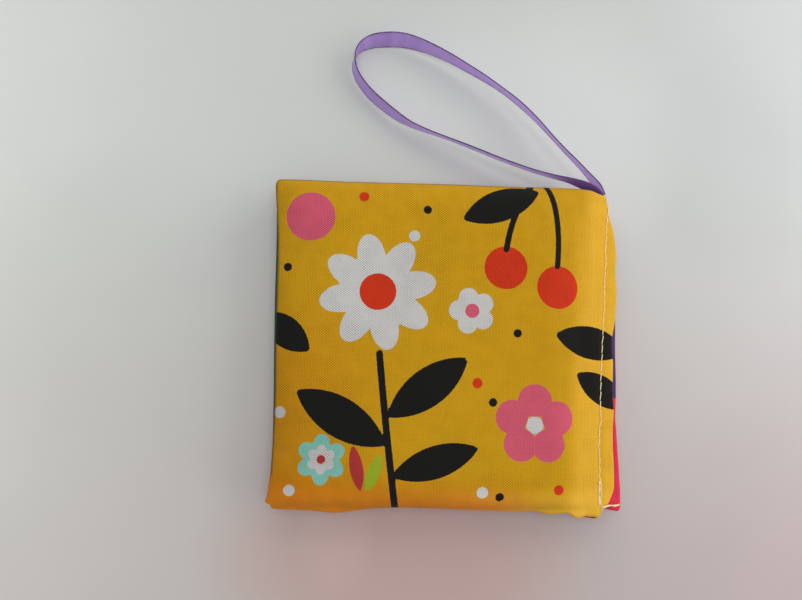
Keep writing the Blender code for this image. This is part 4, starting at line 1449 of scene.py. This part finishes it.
@dataclass
class Seam:
    """The row of stitches: the needle thread over the book, and the bobbin thread under it."""

    binding: Binding
    thickness: float = 0.00036
    ply: float = 0.0009  # length of one turn of its plies
    sides: int = 10
    steps: int = 14  # rings in one stitch
    sink: float = 0.00034
    wobble: float = 0.00016
    slant: float = 0.00030
    bed: float = 0.36  # the thread's height over the cloth, as a share of its thickness
    raised_bed: float = 0.55  # the same for the rows sewn back over the first
    calm: float = 0.3  # how much of the wobble, slant and sink those rows have
    back_end: float = -0.0470
    back_rows: Line = ((-0.00036, 0.0011), (0.00037, 0.0021))

    def top(self, x: Array, y: Array) -> Array:
        """Height of the front cover's cloth."""
        middle, half = self.binding.levels(0, x, y)
        return self.binding.settled(x, y, middle + half)

    def under(self, x: Array, y: Array) -> Array:
        """Height of the back cover's underside."""
        middle, half = self.binding.levels(self.binding.leaves - 1, x, y)
        return self.binding.settled(x, y, middle - half)

    def row(self, over: bool, aside: float = 0.0, last: float = SEAM_END, shift: float = 0.0
            ) -> Array:
        """The thread's line: it rests on the cloth and dips |cos|^20 deep at each hole.

        Between two holes it runs at a slant, and each hole is a little off the seam's line.

        Args:
            over: whether it is the needle thread, on the cover.
            aside: how far the row lies from the seam line.
            last: where the row ends.
            shift: how far its holes are from the main row's.

        Returns:
            The points.
        """
        count = int(round((last - SEAM_START) / STITCH * self.steps))
        y = SEAM_START + np.arange(count + 1) * STITCH / self.steps
        phase = (y - SEAM_START + shift) / STITCH
        draw = np.random.default_rng(3)
        jitter = draw.normal(0, self.wobble, 40)
        calm, bed = (self.calm, self.raised_bed) if aside else (1.0, self.bed)
        x = self.binding.seam_x(y) + aside + np.interp(phase, np.arange(len(jitter)), jitter) * calm
        hole = np.abs(np.cos(math.pi * phase)) ** 20
        x = x + self.slant * (np.mod(phase, 1) - 0.5) * (1 - hole) * calm
        dip = self.sink * hole * calm
        if over:
            z = self.top(x, y) + self.thickness * bed - dip
        else:
            z = np.maximum(self.under(x, y) - self.thickness * bed + dip, self.thickness * 0.55)
        return np.column_stack([x, y, z])

    @staticmethod
    def loose(places: Array) -> Array:
        """A loose end's fine line through a few places."""
        return drawn(places, 8 * len(places))

    def tail(self, start: Array) -> Array:
        """The loose end, from its tip over the cover's corner to the first hole."""
        places = np.array([
            (0.06260, -0.05590, 0.00700), (0.06150, -0.05605, 0.00755), (0.06010, -0.05600, 0.00850),
            (0.05890, -0.05575, 0.01020), (0.05760, -0.05560, 0.01165), (0.05600, -0.05590, 0.01225),
            (0.05480, -0.05625, 0.01245),
        ])
        return self.loose(np.vstack([places, start + (0.0002, -0.0003, 0.0003)]))

    def twin(self, line: Array) -> Array:
        """The bobbin's loose end beside a line: it winds once round it, cos and sin of its share."""
        turn = np.linspace(0.5 * math.pi, 2.4 * math.pi, len(line))
        reach = self.thickness * 0.92
        return line + reach * np.column_stack([np.zeros(len(line)), np.cos(turn), 0.8 * np.sin(turn)])

    def short_tail(self) -> Array:
        """The other loose end, which hangs down over the lower edge."""
        return self.loose(np.array([
            (0.05420, -0.05570, 0.01235), (0.05455, -0.05650, 0.01215), (0.05485, -0.05740, 0.01150),
            (0.05480, -0.05830, 0.01060), (0.05450, -0.05920, 0.00960), (0.05410, -0.06010, 0.00860),
            (0.05380, -0.06070, 0.00790),
        ]))

    def tube(self, name: str, line: Array) -> bpy.types.Object:
        """A round thread along a line, closed at both ends by a last ring drawn to a point.

        The ring at each point is c + r (cos a side + sin a up), with side and up square to the line.
        """
        tangent = unit(np.gradient(line, axis=0))
        up = unit(np.array([0.0, 0.0, 1.0]) - tangent * tangent[:, 2:3])
        side = np.cross(tangent, up)
        angle = np.arange(self.sides) / self.sides * 2 * math.pi
        radius = np.full(len(line), self.thickness / 2)
        radius[[0, -1]] = self.thickness / 40
        rings = (line[:, None] + radius[:, None, None] * (
            np.cos(angle)[None, :, None] * side[:, None] + np.sin(angle)[None, :, None] * up[:, None]))
        obj = mesh_object(name, rings.reshape(-1, 3), tube_quads(len(line), self.sides))
        close_ends(obj.data)
        run = run_of(line)
        turns = angle[None, :] / (2 * math.pi)
        uv = np.stack(np.broadcast_arrays(run[:, None] / self.ply, turns), axis=-1)
        put_uv(obj.data, "thread", uv.reshape(-1, 2))
        obj.data.materials.append(bpy.data.materials.get("white_thread") or SpunThread().material())
        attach(obj, "sewn_block")
        return obj

    def build(self) -> None:
        """Makes both threads, the rows sewn back over the first, and the loose ends."""
        over = self.row(True)
        tail = self.tail(over[0])
        needle = self.tube("needle_thread_stitches", np.vstack([tail, over]))
        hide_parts("needle_thread")
        for number, (aside, shift) in enumerate(self.back_rows, start=1):
            self.tube(f"back_stitches_{number}", self.row(True, aside, self.back_end, shift))
        self.tube("needle_thread_end", self.short_tail())
        self.tube("bobbin_thread_end", self.twin(tail))
        bobbin = self.tube("bobbin_thread_stitches", self.row(False))
        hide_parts("bobbin_thread")
        log.info("threads: %d and %d faces", len(needle.data.polygons), len(bobbin.data.polygons))


@dataclass
class Ribbon:
    """The satin loop, a flat band, and its two sewn ends."""

    width: float = 0.0060
    length: float = 0.228
    body: float = 0.00022
    bead: float = 0.00040
    bow: float = 0.00016  # how far its middle stands out over its edges
    fold: float = 0.00010
    wave: float = 0.00012
    bend: tuple[float, float] = (0.104, 0.016)  # where along it is creased, and how far
    gather: float = 0.34  # share of its width at the two ends
    gather_reach: tuple[float, float] = (0.0052, 0.0028)
    painted_fold_shade_reach: tuple[float, float] = (0.024, 0.014)  # of the painted shade where it is folded shut: from the last end, and over how much
    end_heights: tuple[float, float] = (0.00918, 0.00946)
    steps: int = 14  # rings between two points of the route
    # Points in metres and the angle of the width: 90 lies flat with the upper edge outward, 0 stands
    # upright, and below 0 the upper edge tips inward.
    route: tuple[tuple[float, float, float, float], ...] = (
        (0.0572, 0.0553, 0.0099, 14), (0.0564, 0.0565, 0.0101, 8), (0.0551, 0.0581, 0.0103, 3),
        (0.0532, 0.0603, 0.0103, -1), (0.0507, 0.0632, 0.0102, -6), (0.0474, 0.0671, 0.0099, -9),
        (0.0434, 0.0715, 0.0095, -11), (0.0390, 0.0765, 0.0090, -12),
        (0.0328, 0.0834, 0.0084, -9), (0.0262, 0.0898, 0.0078, -6), (0.0195, 0.0954, 0.0072, -7),
        (0.0134, 0.0998, 0.0066, -2), (0.0060, 0.1043, 0.0060, 4), (-0.0007, 0.1081, 0.0054, 10),
        (-0.0075, 0.1115, 0.0047, 19), (-0.0125, 0.1136, 0.0040, 29), (-0.0176, 0.1150, 0.0033, 39),
        (-0.0230, 0.1153, 0.0028, 43), (-0.0290, 0.1142, 0.0029, 31), (-0.0335, 0.1113, 0.0033, 10),
        (-0.0356, 0.1068, 0.0034, -8), (-0.0350, 0.1018, 0.0034, -14), (-0.0326, 0.0973, 0.0034, -16),
        (-0.0284, 0.0923, 0.0034, -18), (-0.0205, 0.0858, 0.0039, -13), (-0.0139, 0.0818, 0.0045, 0),
        (-0.0071, 0.0789, 0.0052, 8), (-0.0004, 0.0763, 0.0058, 11), (0.0062, 0.0736, 0.0065, 10),
        (0.0129, 0.0709, 0.0072, 10), (0.0195, 0.0683, 0.0079, 10), (0.0261, 0.0659, 0.0085, 10),
        (0.0323, 0.0637, 0.0091, 9), (0.0388, 0.0618, 0.0096, 6), (0.0445, 0.0604, 0.0100, 0),
        (0.0495, 0.0588, 0.0102, -11), (0.0532, 0.0572, 0.0102, -15), (0.0556, 0.0558, 0.0101, -14),
        (0.0567, 0.0550, 0.0099, -8),
    )

    def smooth_route(self) -> Array:
        """Rows of x, y, z and lean on a smooth curve through the route."""
        return drawn(np.array(self.route), (len(self.route) - 1) * self.steps + 1)

    def section(self) -> tuple[Array, Array]:
        """The band's cross section as places across and over, round a closed line.

        Half its thickness is the body's, and swells to the bead's within half a millimetre of each
        edge, where it closes in a half round.
        """
        across = np.concatenate([[-1, -0.985, -0.955, -0.90], np.linspace(-0.80, 0.80, 9),
                                 [0.90, 0.955, 0.985, 1]])
        swell = eased((np.abs(across) - 0.86) / 0.08)
        half = self.body / 2 + (self.bead - self.body) / 2 * swell
        half = half * np.sqrt(np.clip((1 - np.abs(across)) / 0.045, 0, 1))
        half = np.maximum(half, 0.00002)
        places = np.concatenate([across, across[::-1]]) * self.width / 2
        return places, np.concatenate([half, -half[::-1]])

    def band(self, name: str, rows: Array, crease: Array, share_of_width: Array,
             folded: Array) -> bpy.types.Object:
        """A band along rows of x, y, z and lean.

        With t the way along and out = t x up, the width runs along w = cos(lean) v + sin(lean) out,
        where v = out x t, and the section's point (a, b) lies at c + a w + b (t x w). b also has a
        bow across the width, slow waves of the edges and, at the crease, short folds.

        Args:
            name: the piece's name.
            rows: its line, in metres, and its lean in degrees.
            crease: how creased each ring is, 0 to 1.
            share_of_width: how much of the ribbon's width each ring has.
            folded: how far each ring is folded shut, which sets its painted shade, 0 to 1.

        Returns:
            The piece.
        """
        line, lean = rows[:, :3], np.radians(rows[:, 3])[:, None]
        tangent = unit(np.gradient(line, axis=0))
        out = unit(np.cross(tangent, (0.0, 0.0, 1.0)))
        width = np.cos(lean) * np.cross(out, tangent) + np.sin(lean) * out
        over = np.cross(tangent, width)
        run = run_of(line)
        across, height = self.section()
        share = across / (self.width / 2)
        bow = self.bow * (1 - share**2)
        lines = np.sin(run / 0.0021) * np.sin(run / 0.0137 + 1.0)
        fold = (self.fold * crease * lines)[:, None] * (1 - 0.5 * share**2)[None, :]
        wave = (self.wave * np.sin(run / 0.0061 + 0.6))[:, None] * share[None, :] ** 2
        lift = height[None, :] + bow[None, :] + fold + wave
        spread = across[None, :] * share_of_width[:, None]
        rings = line[:, None] + spread[..., None] * width[:, None] + lift[..., None] * over[:, None]
        quads = tube_quads(len(line), len(across))
        obj = mesh_object(name, rings.reshape(-1, 3), quads)
        close_ends(obj.data)
        uv = np.stack(np.broadcast_arrays(run[:, None] / BAND_SPAN, (share[None, :] + 1) / 2), axis=-1)
        put_uv(obj.data, "band", uv.reshape(-1, 2))
        # painted sheen in streaks along the crease
        sheen_streak = np.clip(crease * (0.35 + 0.65 * np.sin(run / 0.0012) * np.sin(run / 0.0031)), 0, 1)
        put_attribute(obj.data, "crease", np.repeat(sheen_streak, len(across)))
        put_attribute(obj.data, "folded", np.repeat(folded, len(across)))
        obj.data.materials.append(bpy.data.materials.get("lilac_satin") or Satin().material())
        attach(obj, "sewn_block")
        return obj

    def sewn_end(self, name: str, end: Array, height: float) -> bpy.types.Object:
        """One gathered end, flat in the seam, from under the cover out to where the loop begins.

        Args:
            name: the piece's name.
            end: the loop's first or last row.
            height: where it lies in the seam.

        Returns:
            The piece.
        """
        inner = np.array([0.0556, 0.0522, height])
        outer = np.array([end[0] - 0.0002, end[1] - 0.0001, height])
        t = np.linspace(0, 1, 16)[:, None]
        line = inner * (1 - t) + outer * t
        count = len(t)
        rows = np.hstack([line, np.full((count, 1), -90.0)])
        # the sewn ends carry the fold's painted shade all along
        return self.band(name, rows, np.zeros(count), np.linspace(0.42, 0.26, count), np.ones(count))

    def build(self) -> bpy.types.Object:
        """Makes the loop and its ends.

        The crease, which carries a painted sheen, is a bell curve about the loop's far bend. The width
        grows from each end, by a smooth step at the first and by 1 - exp(-d / reach) at the last, and
        the last end takes on painted shade by a smooth step where it is folded shut.

        Returns:
            The loop.
        """
        rows = self.smooth_route()
        run = run_of(rows[:, :3])
        rest = run[-1] - run
        crease = np.exp(-(((run - self.bend[0]) / self.bend[1]) ** 2)) + 0.12
        first, last = self.gather_reach
        grown = np.minimum(eased(run / first), 1 - np.exp(-rest / last))
        gathered = self.gather + (1 - self.gather) * grown
        # painted shade where the last end is folded shut
        folded = 0.85 * eased((self.painted_fold_shade_reach[0] - rest) / self.painted_fold_shade_reach[1])
        loop = self.band("ribbon_satin_loop", rows, crease, gathered, folded)
        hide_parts("ribbon_loop")
        lower = self.sewn_end("ribbon_lower_end", rows[0], self.end_heights[0])
        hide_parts("ribbon_sewn_ends")
        upper = self.sewn_end("ribbon_upper_end", rows[-1], self.end_heights[1])
        log.info("%s: %.1f mm along", loop.name, run[-1] / MM)
        return loop


# ---------------------------------------------------------------- the whole


def leaves(binding: Binding) -> list[Leaf]:
    """The five leaves, the front cover first."""
    cover = PanelPlan(Cloth.YELLOW, COVER_PRINT,
                      Relief(broad=0.00012, fine=0.00004, pucker=0.00010, seed=11), 0.0008, painted_light_and_smoothing=1.0)
    corner = (Motif(Ink.RED, Shape.DISC, (55.0, -60.0), 8.0),
              Motif(Ink.RED, Shape.DISC, (-61.0, -58.0), 4.0))
    ground = (Motif(Ink.PINK_FIELD, Shape.FIELD, (0.0, -18.5), 0.0),)
    return [
        Leaf("front_cover", 0, FRONT_COVER_OUTLINE, cover,
             PanelPlan(Cloth.GREEN, meadow(Ink.YELLOW, Ink.WHITE, Ink.RED, 4), Relief(seed=21)),
             binding),
        Leaf("leaf_1", 1, LEAF_1_OUTLINE,
             PanelPlan(Cloth.GREEN, Print(*meadow(Ink.BLACK, Ink.PINK, Ink.WHITE, 9).motifs, *corner),
                       Relief(seed=31)),
             PanelPlan(Cloth.PURPLE, night(2), Relief(seed=41)), binding),
        Leaf("leaf_2", 2, LEAF_2_OUTLINE,
             PanelPlan(Cloth.PURPLE, night(6, *ground), Relief(seed=51)),
             PanelPlan(Cloth.PINK, rounds(Ink.WHITE, Ink.YELLOW), Relief(seed=61)), binding),
        Leaf("leaf_3", 3, LEAF_3_OUTLINE,
             PanelPlan(Cloth.PINK, meadow(Ink.BLACK, Ink.WHITE, Ink.YELLOW, 12), Relief(seed=71)),
             PanelPlan(Cloth.RED, rounds(Ink.WHITE, Ink.BLACK), Relief(seed=81)), binding),
        Leaf("back_cover", 4, plain_outline(1.2, 1.0, 2.6, 0.6, 0.3, 8),
             PanelPlan(Cloth.RED, meadow(Ink.BLACK, Ink.YELLOW, Ink.WHITE, 15), Relief(seed=91)),
             PanelPlan(Cloth.YELLOW, rounds(Ink.BLACK, Ink.WHITE),
                       Relief(broad=0.0, fine=0.00002, pucker=0.00002, seed=95)), binding),
    ]


def main() -> None:
    """Builds the studio and the book, piece by piece."""
    logging.basicConfig(level=logging.INFO, format="%(name)s: %(message)s")
    studio = Studio()
    studio.build_camera()
    Ribbon().build()
    binding = Binding()
    for leaf in leaves(binding):
        leaf.build_panels()
        leaf.build_filling()
    Seam(binding).build()
    studio.build_lights()
    studio.build_table()


if __name__ == "__main__":
    main()
